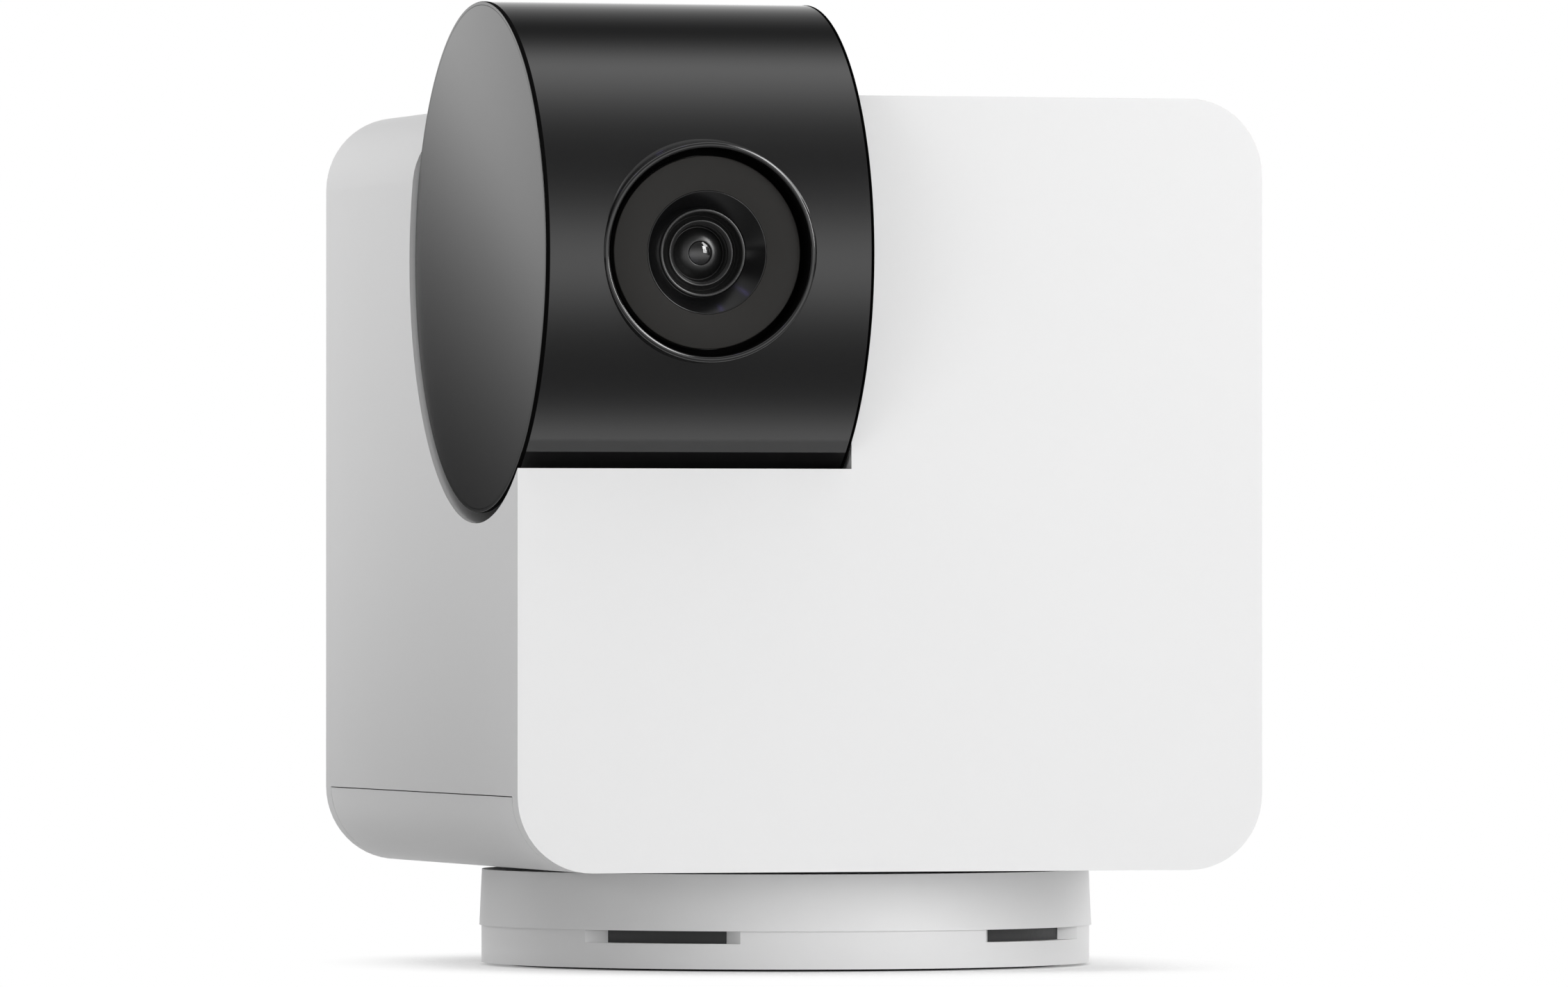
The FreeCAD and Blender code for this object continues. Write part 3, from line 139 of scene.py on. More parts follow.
# Rubber foot ring. Soft dark rubber pressed into a groove under the tray, with a matt
# stippled face where it stands on the table.
rubber = moulded("soft_rubber", (0.045, 0.045, 0.046), drift=0.2, roughness=0.72, spread=0.2,
                 grain_size=1800.0, grain_depth=0.00003)
dress(rubber, "foot_ring", "speaker_gasket", "microphone_boot")

# Vent ring. A band of black ABS that lines the tray wall and shows through the slots, held
# between the tray and the cover.
black_plastic = moulded("black_plastic_skin", (0.03, 0.03, 0.031), drift=0.15, roughness=0.5, spread=0.15,
                        grain_size=2600.0, grain_depth=0.000006)
dress(black_plastic, "vent_ring", "head_cable", "speaker", "reset_switch", "head_hub_cap", "lens_holder",
      "board_carrier")

# Ballast plate, pan post, clips, motor cans and screws. Pressed and turned steel with a
# zinc coat, brushed one way, with a faint cloudy tarnish.


def metal(name, colour, roughness, brush, cloud):
    """A plated metal: fine lines across Z from stretched noise, over a slow cloud of tone."""
    material, tree, shader = new_material(name)
    place = add(tree, "ShaderNodeTexCoord").outputs["Object"]
    stretched = add(tree, "ShaderNodeMapping", {"Vector": place, "Scale": (600.0, 600.0, 9000.0)})
    lines = add(tree, "ShaderNodeTexNoise", {"Vector": stretched.outputs[0], "Scale": 1.0, "Detail": 3.0})
    clouds = add(tree, "ShaderNodeTexNoise", {"Vector": place, "Scale": 160.0, "Detail": 4.0})
    rough = add(tree, "ShaderNodeMath", {0: lines.outputs["Fac"], 1: brush, 2: roughness - brush / 2},
                operation="MULTIPLY_ADD")
    tone = add(tree, "ShaderNodeMix", {"Factor": clouds.outputs["Fac"], "A": (*colour, 1),
                                       "B": (*(cloud * part for part in colour), 1)}, data_type="RGBA")
    bump = add(tree, "ShaderNodeBump", {"Height": lines.outputs["Fac"], "Strength": 0.4,
                                        "Distance": 0.000004})
    tree.links.new(tone.outputs["Result"], shader.inputs["Base Color"])
    tree.links.new(rough.outputs[0], shader.inputs["Roughness"])
    tree.links.new(bump.outputs["Normal"], shader.inputs["Normal"])
    shader.inputs["Metallic"].default_value = 1.0
    return material


steel = metal("zinc_plated_steel", (0.62, 0.62, 0.61), roughness=0.32, brush=0.16, cloud=0.86)
dress(steel, "ballast_plate", "post_screws", "pan_post", "pan_clip", "hub_clip", "pan_motor", "tilt_motor",
      "pan_motor_shaft", "tilt_motor_shaft", "motor_screws", "shell_screws", "board_screws", "sensor_screws",
      "shield_can", "radio_module", "usb_socket", "microphone")

# Base and cover screws. Rolled steel screws with a pan head and a cross recess, three up
# through the tray and four up through the bottom cover, seen from below.
MM = 0.001
HEAD_RADIUS, HEAD_HEIGHT, HEAD_SINK, HEAD_CROWN, HEAD_GAP = 2.2, 1.2, 0.02, 0.2, 0.2
SHANK_RADIUS, SHANK_EASE, NECK_RADIUS, THREAD_HEIGHT, SCREW_PITCH = 1.2, 0.01, 1.1, 0.16, 0.9
TIP_LENGTH, TIP_RADIUS = 0.5, 0.55
CROSS_DEPTH, CROSS_ARM, CROSS_WIDTH, CROSS_SLOPE, CROSS_TAPER = 0.8, 1.25, 0.3, 0.12, 0.45
CROSS_START, CROSS_END, CROSS_ROWS, HEAD_ROWS, SHANK_ROWS, COLUMNS = 0.06, 1.5, 20, (1.8, 2.02, 2.14), 60, 72
BASE_SCREW_CIRCLE, BASE_SCREW_TURNS, COVER_SCREW_PLACE = 18.0, (30, 150, 270), 25.0


def grid_faces(rows, columns, rows_close):
    """Quads between neighbours on a grid whose columns close on themselves."""
    row = np.arange(rows if rows_close else rows - 1)[:, None]
    column = np.arange(columns)[None, :]
    below, beside = (row + 1) % rows, (column + 1) % columns
    corners = (row * columns + column, row * columns + beside, below * columns + beside,
               below * columns + column)
    return np.stack(corners, -1).reshape(-1, 4)


def swung(radius, along, centre, axis, rows_close=False):
    """Point (i, j) is radius[i, j] swung to angle j about the axis through centre, and along[i, j]
    up it. Rows that don't close run into one point on the axis at each end."""
    rows, columns = radius.shape
    angle = np.arange(columns) * (math.tau / columns)
    order = {"X": (2, 0, 1), "Y": (0, 2, 1), "Z": (0, 1, 2)}[axis]
    points = np.stack([radius * np.cos(angle), radius * np.sin(angle), along], -1).reshape(-1, 3)
    faces = grid_faces(rows, columns, rows_close).tolist()
    if not rows_close:
        ends = [[0, 0, along[0].mean()], [0, 0, along[-1].mean()]]
        ring = np.arange(columns)
        for end, first in ((rows * columns, 0), (rows * columns + 1, (rows - 1) * columns)):
            faces += np.stack([ring + first, np.roll(ring, -1) + first, 0 * ring + end], -1).tolist()
        points = np.vstack([points, ends])
    return (points[:, order] + np.asarray(centre, float)) * MM, faces


def new_piece(name, parts, material, body, slot, *replaced, crease=38.0):
    """Joins worked-out surfaces in one mesh, turns the faces outwards, and tells the frame of it."""
    starts = np.cumsum([0] + [len(points) for points, _ in parts])
    points = np.vstack([points for points, _ in parts])
    faces = [[corner + start for corner in face] for (_, part), start in zip(parts, starts.tolist())
             for face in part]
    mesh = bpy.data.meshes.new(name)
    mesh.from_pydata(points.tolist(), [], faces)
    work = bmesh.new()
    work.from_mesh(mesh)
    bmesh.ops.recalc_face_normals(work, faces=work.faces)
    work.to_mesh(mesh)
    work.free()
    mesh.polygons.foreach_set("use_smooth", np.ones(len(mesh.polygons), bool))
    mesh.set_sharp_from_angle(angle=math.radians(crease))
    mesh.materials.append(material)
    piece = bpy.data.objects.new(name, mesh)
    bpy.context.scene.collection.objects.link(piece)
    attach(piece, body)
    if replaced:
        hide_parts(*replaced)
    return piece


def screw_surface(x, y, z, length):
    """From the head's middle to the tip. Head: a shallow crown, less a cross whose two arms sink
    with a straight slope at their sides and ends. Shank: the radius less a triangle wave of the
    height over the pitch less the angle over a turn, so the thread runs as a right-hand helix."""
    angle = np.arange(COLUMNS)[None, :] * (math.tau / COLUMNS)
    recess = np.linspace(CROSS_START, CROSS_END, CROSS_ROWS)
    out = np.concatenate([recess, HEAD_ROWS, [HEAD_RADIUS]])[:, None]
    across, up = out * np.cos(angle), out * np.sin(angle)

    def arm(one, other):
        side = (CROSS_WIDTH - np.abs(one)) / CROSS_SLOPE
        end = (CROSS_ARM - np.abs(other)) / CROSS_SLOPE
        return np.clip(np.minimum(side, end), 0, 1)

    taper = 1 - CROSS_TAPER * out / CROSS_ARM
    cross = np.maximum(arm(across, up), arm(up, across)) * CROSS_DEPTH * taper
    head = HEAD_SINK + HEAD_CROWN * (out / HEAD_RADIUS) ** 4 + np.maximum(cross, 0)
    rise = np.linspace(HEAD_HEIGHT + HEAD_GAP, length - TIP_LENGTH, SHANK_ROWS)[:, None]
    turn = (rise / SCREW_PITCH - angle / math.tau) % 1
    shank = SHANK_RADIUS - SHANK_EASE - THREAD_HEIGHT * np.abs(2 * turn - 1)
    under = np.array([[HEAD_RADIUS], [NECK_RADIUS]]) * np.ones((1, COLUMNS))
    rows = [np.broadcast_to(out, cross.shape), under, shank, np.full((1, COLUMNS), TIP_RADIUS)]
    heights = [head, np.full((2, COLUMNS), HEAD_HEIGHT), np.broadcast_to(rise, shank.shape),
               np.full((1, COLUMNS), length)]
    return swung(np.vstack(rows), np.vstack(heights), (x, y, z), "Z")


for screws, body in (("base_screws", "base"), ("cover_screws", "housing")):
    low, high = np.array(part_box(screws)) / MM
    if body == "base":
        turns = np.radians(BASE_SCREW_TURNS)
        places = BASE_SCREW_CIRCLE * np.stack([np.cos(turns), np.sin(turns)], -1)
    else:
        places = COVER_SCREW_PLACE * np.array([(1, 1), (-1, 1), (-1, -1), (1, -1)])
    new_piece("cross_head_" + screws, [screw_surface(x, y, low[2], high[2] - low[2]) for x, y in places],
              steel, body, "steel", screws)

# Tripod insert. A turned brass bush, moulded into the tray's boss, threaded for a quarter
# inch camera screw of 20 threads to the inch.
INSERT_RADIUS, INSERT_LOW, INSERT_HIGH, INSERT_EDGE = 5.0, 0.25, 6.25, 0.1
INSERT_FACE = (4.85, 3.7)
MOUTH_RADIUS, MOUTH_RISE, MOUTH_DEPTH, BACK_RADIUS = 3.55, 0.05, 0.45, 3.3
THREAD_MAJOR, THREAD_DEPTH, THREAD_PITCH, THREAD_ROWS, THREAD_FADE = 3.175, 0.55, 1.27, 64, 0.5
CREST_STRETCH, CREST_SHIFT = 1.3, 0.15


def insert_surface():
    """A closed ring: the lower face, the bore, the upper face and the outside. The bore's radius is
    the thread's major radius less a flat-topped triangle wave of height over pitch less angle over
    a turn, which fades out at both mouths."""
    angle = np.arange(COLUMNS)[None, :] * (math.tau / COLUMNS)
    rise = np.linspace(INSERT_LOW + MOUTH_DEPTH, INSERT_HIGH - INSERT_EDGE, THREAD_ROWS)[:, None]
    turn = (rise / THREAD_PITCH - angle / math.tau) % 1
    ridge = np.clip(CREST_STRETCH * np.abs(2 * turn - 1) - CREST_SHIFT, 0, 1)
    fade = np.clip(np.minimum(rise - rise[0], rise[-1] - rise) / THREAD_FADE, 0, 1)
    bore = THREAD_MAJOR - THREAD_DEPTH * ridge * fade
    edge = np.array([(INSERT_FACE[0], INSERT_LOW), (INSERT_FACE[1], INSERT_LOW),
                     (MOUTH_RADIUS, INSERT_LOW + MOUTH_RISE)])
    back = np.array([(BACK_RADIUS, INSERT_HIGH), (INSERT_RADIUS - INSERT_EDGE, INSERT_HIGH),
                     (INSERT_RADIUS, INSERT_HIGH - INSERT_EDGE),
                     (INSERT_RADIUS, INSERT_LOW + 1.5 * INSERT_EDGE)])
    wide = np.ones((1, COLUMNS))
    radius = np.vstack([edge[:, :1] * wide, bore, back[:, :1] * wide])
    along = np.vstack([edge[:, 1:] * wide, rise * wide, back[:, 1:] * wide])
    return swung(radius, along, (0, 0, 0), "Z", rows_close=True)


brass = metal("machined_brass", (0.75, 0.56, 0.26), roughness=0.26, brush=0.14, cloud=0.8)
new_piece("threaded_tripod_insert", [insert_surface()], brass, "base", "brass", "tripod_insert")

# Gears, washer and bearing bushes. Natural acetal, cream white and slightly waxy: the gears
# pressed on their shafts, the bushes in the housing's bores.
nylon = moulded("natural_acetal", (0.72, 0.69, 0.62), drift=0.06, roughness=0.36, spread=0.1,
                grain_size=1500.0, grain_depth=0.000002)
dress(nylon, "pan_gear", "thrust_washer", "pan_bush", "tilt_bush", "tilt_gear", "pan_pinion", "tilt_pinion")

# Inner frame and reset button. Grey ABS: the frame is screwed to the bottom cover's corners,
# and the button slides in a hole of the rear wall.
grey_plastic = moulded("grey_plastic_skin", (0.26, 0.265, 0.27), drift=0.05, roughness=0.45, spread=0.12,
                       grain_size=2600.0, grain_depth=0.000004)
dress(grey_plastic, "inner_frame", "reset_button")

# Circuit boards. Glass epoxy with green solder mask over copper tracks, screwed or clipped to
# the frame and to the drum's carrier.


def board_material():
    """Green mask whose tracks show as a slightly raised, lighter brick pattern of thin lines."""
    material, tree, shader = new_material("green_circuit_board")
    place = add(tree, "ShaderNodeTexCoord").outputs["Object"]
    turned = add(tree, "ShaderNodeMapping", {"Vector": place, "Rotation": (math.pi / 2, 0, 0)})
    tracks = add(tree, "ShaderNodeTexBrick", {
        "Vector": turned.outputs[0], "Color1": (0.012, 0.11, 0.045, 1), "Color2": (0.016, 0.13, 0.055, 1),
        "Mortar": (0.03, 0.2, 0.09, 1), "Scale": 240.0, "Mortar Size": 0.06, "Brick Width": 0.9,
        "Row Height": 0.35})
    bump = add(tree, "ShaderNodeBump", {"Height": tracks.outputs["Fac"], "Strength": 0.5,
                                        "Distance": 0.00003})
    tree.links.new(tracks.outputs["Color"], shader.inputs["Base Color"])
    tree.links.new(bump.outputs["Normal"], shader.inputs["Normal"])
    shader.inputs["Roughness"].default_value = 0.3
    return material


dress(board_material(), "main_board", "antenna", "night_light_board", "sensor_board", "image_sensor")

# Clear mouldings. The light pipe of the status light, pushed into the rear wall, and the four
# infrared lights on their board behind the lens window.


def clear_material(name, tint, roughness, bend=1.49):
    """A clear material: full transmission with a trace of tint from slow noise. The bend is the
    index of refraction."""
    material, tree, shader = new_material(name)
    place = add(tree, "ShaderNodeTexCoord").outputs["Object"]
    cloud = add(tree, "ShaderNodeTexNoise", {"Vector": place, "Scale": 300.0})
    tone = add(tree, "ShaderNodeMix", {"Factor": cloud.outputs["Fac"], "A": (*tint, 1),
                                       "B": (*(0.94 * part for part in tint), 1)}, data_type="RGBA")
    tree.links.new(tone.outputs["Result"], shader.inputs["Base Color"])
    shader.inputs["Roughness"].default_value = roughness
    shader.inputs["Transmission Weight"].default_value = 1.0
    shader.inputs["IOR"].default_value = bend
    return material


clear_acrylic = clear_material("clear_acrylic", (0.93, 0.95, 0.96), roughness=0.12)
dress(clear_acrylic, "status_light_pipe", "night_lights")

# Socket contacts. Twelve thin gold plated springs a side, set in the tongue of the charging
# socket at half a millimetre apart, so that they just stand out of it.
CONTACT_COUNT, CONTACT_PITCH, CONTACT_WIDTH, CONTACT_STAND = 12, 0.5, 0.26, 0.03
CONTACT_START, CONTACT_END, TONGUE_MIDDLE, TONGUE_HALF = 32.4, 36.1, 45.0, 0.35
CONTACT_SIDES, CONTACT_ROWS, CORNER_POWER, END_POWER = 16, 9, 0.5, 6


def contact_surface(middle, side):
    """A flat bar along Y whose section is a superellipse; its height dies away at both ends as a
    square root, so that it closes smoothly."""
    angle = np.arange(CONTACT_SIDES)[None, :] * (math.tau / CONTACT_SIDES)
    step = np.linspace(0, 1, CONTACT_ROWS)[1:-1, None]
    swell = np.sqrt(1 - (2 * step - 1) ** END_POWER)
    across = np.sign(np.cos(angle)) * np.abs(np.cos(angle)) ** CORNER_POWER * CONTACT_WIDTH / 2 * swell
    up = np.sign(np.sin(angle)) * np.abs(np.sin(angle)) ** CORNER_POWER * CONTACT_STAND * swell
    radius = np.hypot(across, up)
    lay = CONTACT_START + (CONTACT_END - CONTACT_START) * step + 0 * angle
    points, faces = swung(radius, lay, (0, 0, 0), "Y")
    points[:-2, 0], points[:-2, 2] = (across * MM).ravel(), (up * MM).ravel()
    points += np.array([middle, 0, TONGUE_MIDDLE + side * TONGUE_HALF]) * MM
    return points, faces


gold = metal("gold_plate", (0.86, 0.62, 0.25), roughness=0.22, brush=0.1, cloud=0.9)
middles = (np.arange(CONTACT_COUNT) - (CONTACT_COUNT - 1) / 2) * CONTACT_PITCH
new_piece("socket_contacts", [contact_surface(x, side) for x in middles for side in (1, -1)],
          gold, "housing", "brass")

# Main shell and bottom cover. The cube: one deep moulding with the drum's pocket, closed
# by a cover that carries the two lower corners. The same white satin ABS as the base.
dress(white_plastic, "main_shell", "bottom_cover")

# Drum. A turned sleeve of high gloss black polycarbonate with bevelled ends, between two
# caps; the outer cap is glued in flush, and its flat face is polished to a softer satin.
DRUM_BLACK, DRUM_BEND = (0.0045, 0.0045, 0.0047), 1.585
black_gloss = moulded("high_gloss_black", DRUM_BLACK, drift=0.1, roughness=0.08, spread=0.02,
                      grain_size=700.0, grain_depth=0.0000002, bend=DRUM_BEND)
black_satin = moulded("polished_black_cap", DRUM_BLACK, drift=0.1, roughness=0.2, spread=0.03,
                      grain_size=1500.0, grain_depth=0.0000004, bend=DRUM_BEND)
dress(black_gloss, "head_shell")
DRUM_Y, DRUM_Z, DRUM_RADIUS, DRUM_LEFT, DRUM_COLUMNS = -22.2, 70.3, 25.1, -37.7, 192
CAP_RADIUS, CAP_THICK, CAP_EDGE, CAP_LIP, CAP_LIP_RADIUS, CAP_CENTRE = 24.74, 1.5, 0.02, 0.07, 25.08, 0.5


def rounded_outline(corners, cuts, closed=False, steps=7):
    """Each corner becomes the circle's arc that touches both its sides at the distance cut: a
    rational quadratic curve whose middle weight is the sine of half the corner's angle."""
    corners, cuts = np.asarray(corners, float), np.asarray(cuts, float)[:, None]
    one, other = np.roll(corners, 1, 0) - corners, np.roll(corners, -1, 0) - corners
    one /= np.linalg.norm(one, axis=1, keepdims=True)
    other /= np.linalg.norm(other, axis=1, keepdims=True)
    weight = np.sqrt((1 - (one * other).sum(1)) / 2)[:, None, None]
    step = np.linspace(0, 1, steps)[None, :, None]
    parts = (1 - step) ** 2, 2 * step * (1 - step) * weight, step ** 2
    sides = (corners + one * cuts)[:, None], corners[:, None], (corners + other * cuts)[:, None]
    arcs = sum(part * side for part, side in zip(parts, sides)) / sum(parts)
    if closed:
        return arcs.reshape(-1, 2)
    return np.vstack([corners[:1], arcs[1:-1].reshape(-1, 2), corners[-1:]])


def turned(outline, centre, axis, columns, closed=False):
    """A surface of revolution: every point of the outline, as radius and height, on a full turn."""
    wide = np.ones((1, columns))
    return swung(outline[:, :1] * wide, outline[:, 1:] * wide, centre, axis, closed)


cap = rounded_outline([(CAP_CENTRE, 0), (CAP_LIP_RADIUS, 0), (CAP_LIP_RADIUS, CAP_LIP), (CAP_RADIUS, CAP_LIP),
                       (CAP_RADIUS, CAP_THICK), (CAP_CENTRE, CAP_THICK)],
                      [0, CAP_EDGE, CAP_EDGE, CAP_EDGE, CAP_EDGE, 0])
new_piece("drum_end_cap", [turned(cap, (DRUM_LEFT, DRUM_Y, DRUM_Z), "X", DRUM_COLUMNS)], black_satin, "head",
          "black_gloss", "head_end_cap")

# Drum shade bands. A thin matt near-black band in the bevel at each end of the sleeve, under the lip of the
# cap; it takes no shine. It is painted shade: it stands in for the shade in the narrow joints at the drum's
# ends, and shows as the fine dark line round them.
SHADE_BAND_IN, SHADE_BAND_OUT, SHADE_BAND_WIDE, SHADE_BAND_NARROW, DRUM_RIGHT = 24.85, 25.13, 0.4, 0.14, -4.6
SHADE_BAND_IN_CUT, SHADE_BAND_OUT_CUT = 0.03, 0.06
# Painted shade: near black and without shine, for the shade in the joints at the drum's ends.
gap_shade_black = moulded("painted_gap_shade", (0.0012, 0.0012, 0.0012), drift=0.1, roughness=0.8, spread=0.1,
                     grain_size=2600.0, grain_depth=0.000001, bend=1.1)
for name, start, end in (("drum_shade_band_left", DRUM_LEFT + CAP_LIP, DRUM_LEFT + CAP_LIP + SHADE_BAND_WIDE),
                         ("drum_shade_band_right", DRUM_RIGHT - SHADE_BAND_NARROW, DRUM_RIGHT)):
    shade_band = rounded_outline([(SHADE_BAND_IN, start), (SHADE_BAND_OUT, start), (SHADE_BAND_OUT, end), (SHADE_BAND_IN, end)],
                           [SHADE_BAND_IN_CUT, SHADE_BAND_OUT_CUT, SHADE_BAND_OUT_CUT, SHADE_BAND_IN_CUT], closed=True)
    new_piece(name, [turned(shade_band, (0, DRUM_Y, DRUM_Z), "X", DRUM_COLUMNS, True)], gap_shade_black, "head",
              "black_plastic")

# Lens bezel. A gloss black ring snapped into the drum's window from inside by its flange, with
# a round crest, a deep bore, and a foot that flares out to lie on the drum's curve.
LENS_X, BEZEL_FRONT = -21.15, -47.45
LENS_CENTRE = (LENS_X, BEZEL_FRONT, DRUM_Z)
BEZEL_BORE, BEZEL_RADIUS, SHELF_RADIUS, SHELF_END, SHELF_DEPTH = 10.12, 10.7, 8.4, 9.42, 2.4
FLANGE_RADIUS, FLANGE_DEPTH, BEZEL_DEPTH, DRUM_WALL = 12.4, 4.6, 5.6, 1.82
GROOVE_DEPTH, FLARE, FLARE_POWER, FOOT_SINK, FOOT_STEP = 3.1, 0.36, 0.8, 0.03, 0.05
BEZEL_COLUMNS, CREST_ROWS, FOOT_ROWS = 240, 15, 12


def bezel_surface():
    """A closed ring. Behind the shelf a V groove runs to the straight bore, the crest is a half
    circle, and the outside runs from it to the drum's surface, whose depth at an angle is the
    drum's radius less the root of its square less the height's square. The foot swells on the
    upper side as the cube of the way there, times a power of the angle's sine; the flange's
    front gives way to the drum's inner wall."""
    angle = np.arange(BEZEL_COLUMNS)[None, :] * (math.tau / BEZEL_COLUMNS)
    wide = np.ones_like(angle)
    crest, half = (BEZEL_BORE + BEZEL_RADIUS) / 2, (BEZEL_RADIUS - BEZEL_BORE) / 2
    turn = np.linspace(math.pi, 0, CREST_ROWS)[:, None]
    radius = [SHELF_RADIUS * wide, SHELF_RADIUS * wide, SHELF_END * wide, BEZEL_BORE * wide,
              (crest + half * np.cos(turn)) * wide]
    depth = [BEZEL_DEPTH * wide, SHELF_DEPTH * wide, SHELF_DEPTH * wide, GROOVE_DEPTH * wide,
             half * (1 - np.sin(turn)) * wide]

    def fall(out, reach):
        return DRUM_Y - BEZEL_FRONT - np.sqrt(reach ** 2 - (out * np.sin(angle)) ** 2)

    swell = FLARE * np.clip(np.sin(angle), 0, 1) ** FLARE_POWER
    foot = np.maximum(fall(BEZEL_RADIUS + swell, DRUM_RADIUS), half) + FOOT_SINK
    way = np.linspace(0, 1, FOOT_ROWS)[1:, None]
    radius += [BEZEL_RADIUS + swell * way ** 3, BEZEL_RADIUS * wide, BEZEL_RADIUS * wide,
               FLANGE_RADIUS * wide, FLANGE_RADIUS * wide]
    depth += [half + (foot - half) * way, foot + FOOT_STEP, np.full_like(wide, FLANGE_DEPTH),
              np.maximum(FLANGE_DEPTH, fall(FLANGE_RADIUS, DRUM_RADIUS - DRUM_WALL)), BEZEL_DEPTH * wide]
    return swung(np.vstack(radius), np.vstack(depth), LENS_CENTRE, "Y", rows_close=True)


new_piece("lens_bezel_ring", [bezel_surface()], black_gloss, "head", "black_gloss", "lens_bezel")

# Night window. A matt disc of smoked polycarbonate that passes infrared, laid on the bezel's
# shelf round the lens barrel, with a dark gap between it and the bore.
WINDOW_OUT, WINDOW_IN, WINDOW_SINK, WINDOW_THICK, WINDOW_CUTS = 9.4, 6.02, 1.4, 1.0, (0.03, 0.1, 0.05, 0.05)
LENS_COLUMNS = 160
dark_window = moulded("smoked_window", (0.0125, 0.0118, 0.0108), drift=0.05, roughness=0.55, spread=0.08,
                      grain_size=3500.0, grain_depth=0.000001, bend=1.25)
window = rounded_outline([(WINDOW_IN, WINDOW_SINK), (WINDOW_OUT, WINDOW_SINK),
                          (WINDOW_OUT, WINDOW_SINK + WINDOW_THICK), (WINDOW_IN, WINDOW_SINK + WINDOW_THICK)],
                         WINDOW_CUTS, closed=True)
new_piece("night_window_disc", [turned(window, LENS_CENTRE, "Y", LENS_COLUMNS, True)], dark_window, "head",
          "dark_window", "night_window")

# Lens barrel. A turned black barrel with a thin bright edge, a wide cone mouth, a seat for
# the step ring and a bore down to the rear glass, pressed through the window's middle.
BARREL_RADIUS, BARREL_BACK, CONE_RADIUS, CONE_DEPTH = 6.0, 14.8, 4.34, 2.9
BORE_RADIUS, SEAT_RADIUS, SEAT_DEPTH, NOSE_BACK, BRIGHT_EDGE = 2.5, 3.02, 13.6, 5.2, 0.09
BARREL_CUTS = (0.03, 0.3, 0.1, 0.05, 0.05, 0.05, 0.05, 0.02, 0.03)
black_barrel = moulded("black_anodised_barrel", (0.002, 0.002, 0.0022), drift=0.1, roughness=0.17,
                       spread=0.03, grain_size=2400.0, grain_depth=0.0000004, bend=1.4)
barrel = rounded_outline(
    [(BARREL_RADIUS, WINDOW_SINK), (BARREL_RADIUS, BARREL_BACK), (SEAT_RADIUS, BARREL_BACK),
     (SEAT_RADIUS, SEAT_DEPTH), (BORE_RADIUS, SEAT_DEPTH), (BORE_RADIUS, NOSE_BACK),
     (CONE_RADIUS, NOSE_BACK), (CONE_RADIUS, CONE_DEPTH), (BARREL_RADIUS - BRIGHT_EDGE, WINDOW_SINK)],
    BARREL_CUTS, closed=True)
new_piece("lens_cone_barrel", [turned(barrel, LENS_CENTRE, "Y", LENS_COLUMNS, True)], black_barrel, "head",
          "black_gloss", "lens_barrel")

# Step ring. An anodised ring with two crests and a groove between them, dropped into the
# barrel's seat, where it holds the nose and the front glass down. Corners: radius and depth.
RING_OUT, RING_IN, RING_BACK = 4.32, 2.8, 4.4
OUTER_CREST, OUTER_CREST_DEPTH, GROOVE_SIDE, GROOVE_FLOOR = 3.98, 2.84, (3.88, 3.7), (3.62, 4.25)
INNER_CREST, INNER_CREST_DEPTH, INNER_FLANK, BEVEL_DEPTH = (3.08, 3.2), 3.56, (3.3, 3.8), 3.82
RING_CUTS, NOSE_COLUMNS = (0.16, 0.05, 0.04, 0.05, 0.05, 0.05, 0.05, 0.03, 0.1, 0.16), 128
grey_ring = moulded("anodised_ring", (0.014, 0.014, 0.014), drift=0.1, roughness=0.3, spread=0.08,
                    grain_size=3000.0, grain_depth=0.000001)
ring = rounded_outline(
    [(RING_OUT, OUTER_CREST_DEPTH), (RING_OUT, RING_BACK), (RING_IN, RING_BACK), (RING_IN, BEVEL_DEPTH),
     (INNER_CREST[0], INNER_CREST_DEPTH), (INNER_CREST[1], INNER_CREST_DEPTH), INNER_FLANK,
     GROOVE_FLOOR, GROOVE_SIDE, (OUTER_CREST, OUTER_CREST_DEPTH)], RING_CUTS, closed=True)
new_piece("lens_step_ring", [turned(ring, LENS_CENTRE, "Y", NOSE_COLUMNS, True)], grey_ring, "head",
          "grey_ring", "lens_ring")

# Nose. A moulded black cap with a domed hill in its middle that carries the front glass. It
# sits in the barrel's mouth, and the step ring clamps its rim.
PUPIL_RADIUS, HILL_RADIUS, HILL_TOP, HILL_ROWS, PUPIL_LIP, PUPIL_SLOPE = 1.12, 2.5, 3.86, 40, 0.08, 1.2
NOSE_WALL_RADII, NOSE_WALL_DEPTHS = (2.56, 2.72, 2.78, 2.78), (4.74, 4.0, 3.9, 4.42)
NOSE_RIM_RADIUS, NOSE_RIM_DEPTH = 4.28, 4.42
black_nose = moulded("satin_black_nose", (0.006, 0.006, 0.006), drift=0.1, roughness=0.3, spread=0.06,
                     grain_size=2400.0, grain_depth=0.0000008)


def nose_surface():
    """A closed ring. From the pupil out, the depth grows as half the square of the way for the
    first millimetre and then evenly, down to a narrow groove whose outer wall stands against
    the ring; then round the rim and the flat back."""
    hill = np.linspace(PUPIL_RADIUS, HILL_RADIUS, HILL_ROWS)
    way = hill - PUPIL_RADIUS
    depth = HILL_TOP + np.where(way < 1, 0.5 * way ** 2, way - 0.5) + PUPIL_SLOPE * (PUPIL_LIP - way).clip(0)
    rim_radii = [NOSE_RIM_RADIUS, NOSE_RIM_RADIUS, PUPIL_RADIUS]
    rim_depths = [NOSE_RIM_DEPTH, NOSE_BACK, NOSE_BACK]
    outline = np.column_stack([np.concatenate([hill, NOSE_WALL_RADII, rim_radii]),
                               np.concatenate([depth, NOSE_WALL_DEPTHS, rim_depths])])
    return turned(outline, LENS_CENTRE, "Y", NOSE_COLUMNS, True)


new_piece("lens_nose_dome", [nose_surface()], black_nose, "head", "black_plastic", "lens_nose", crease=60.0)
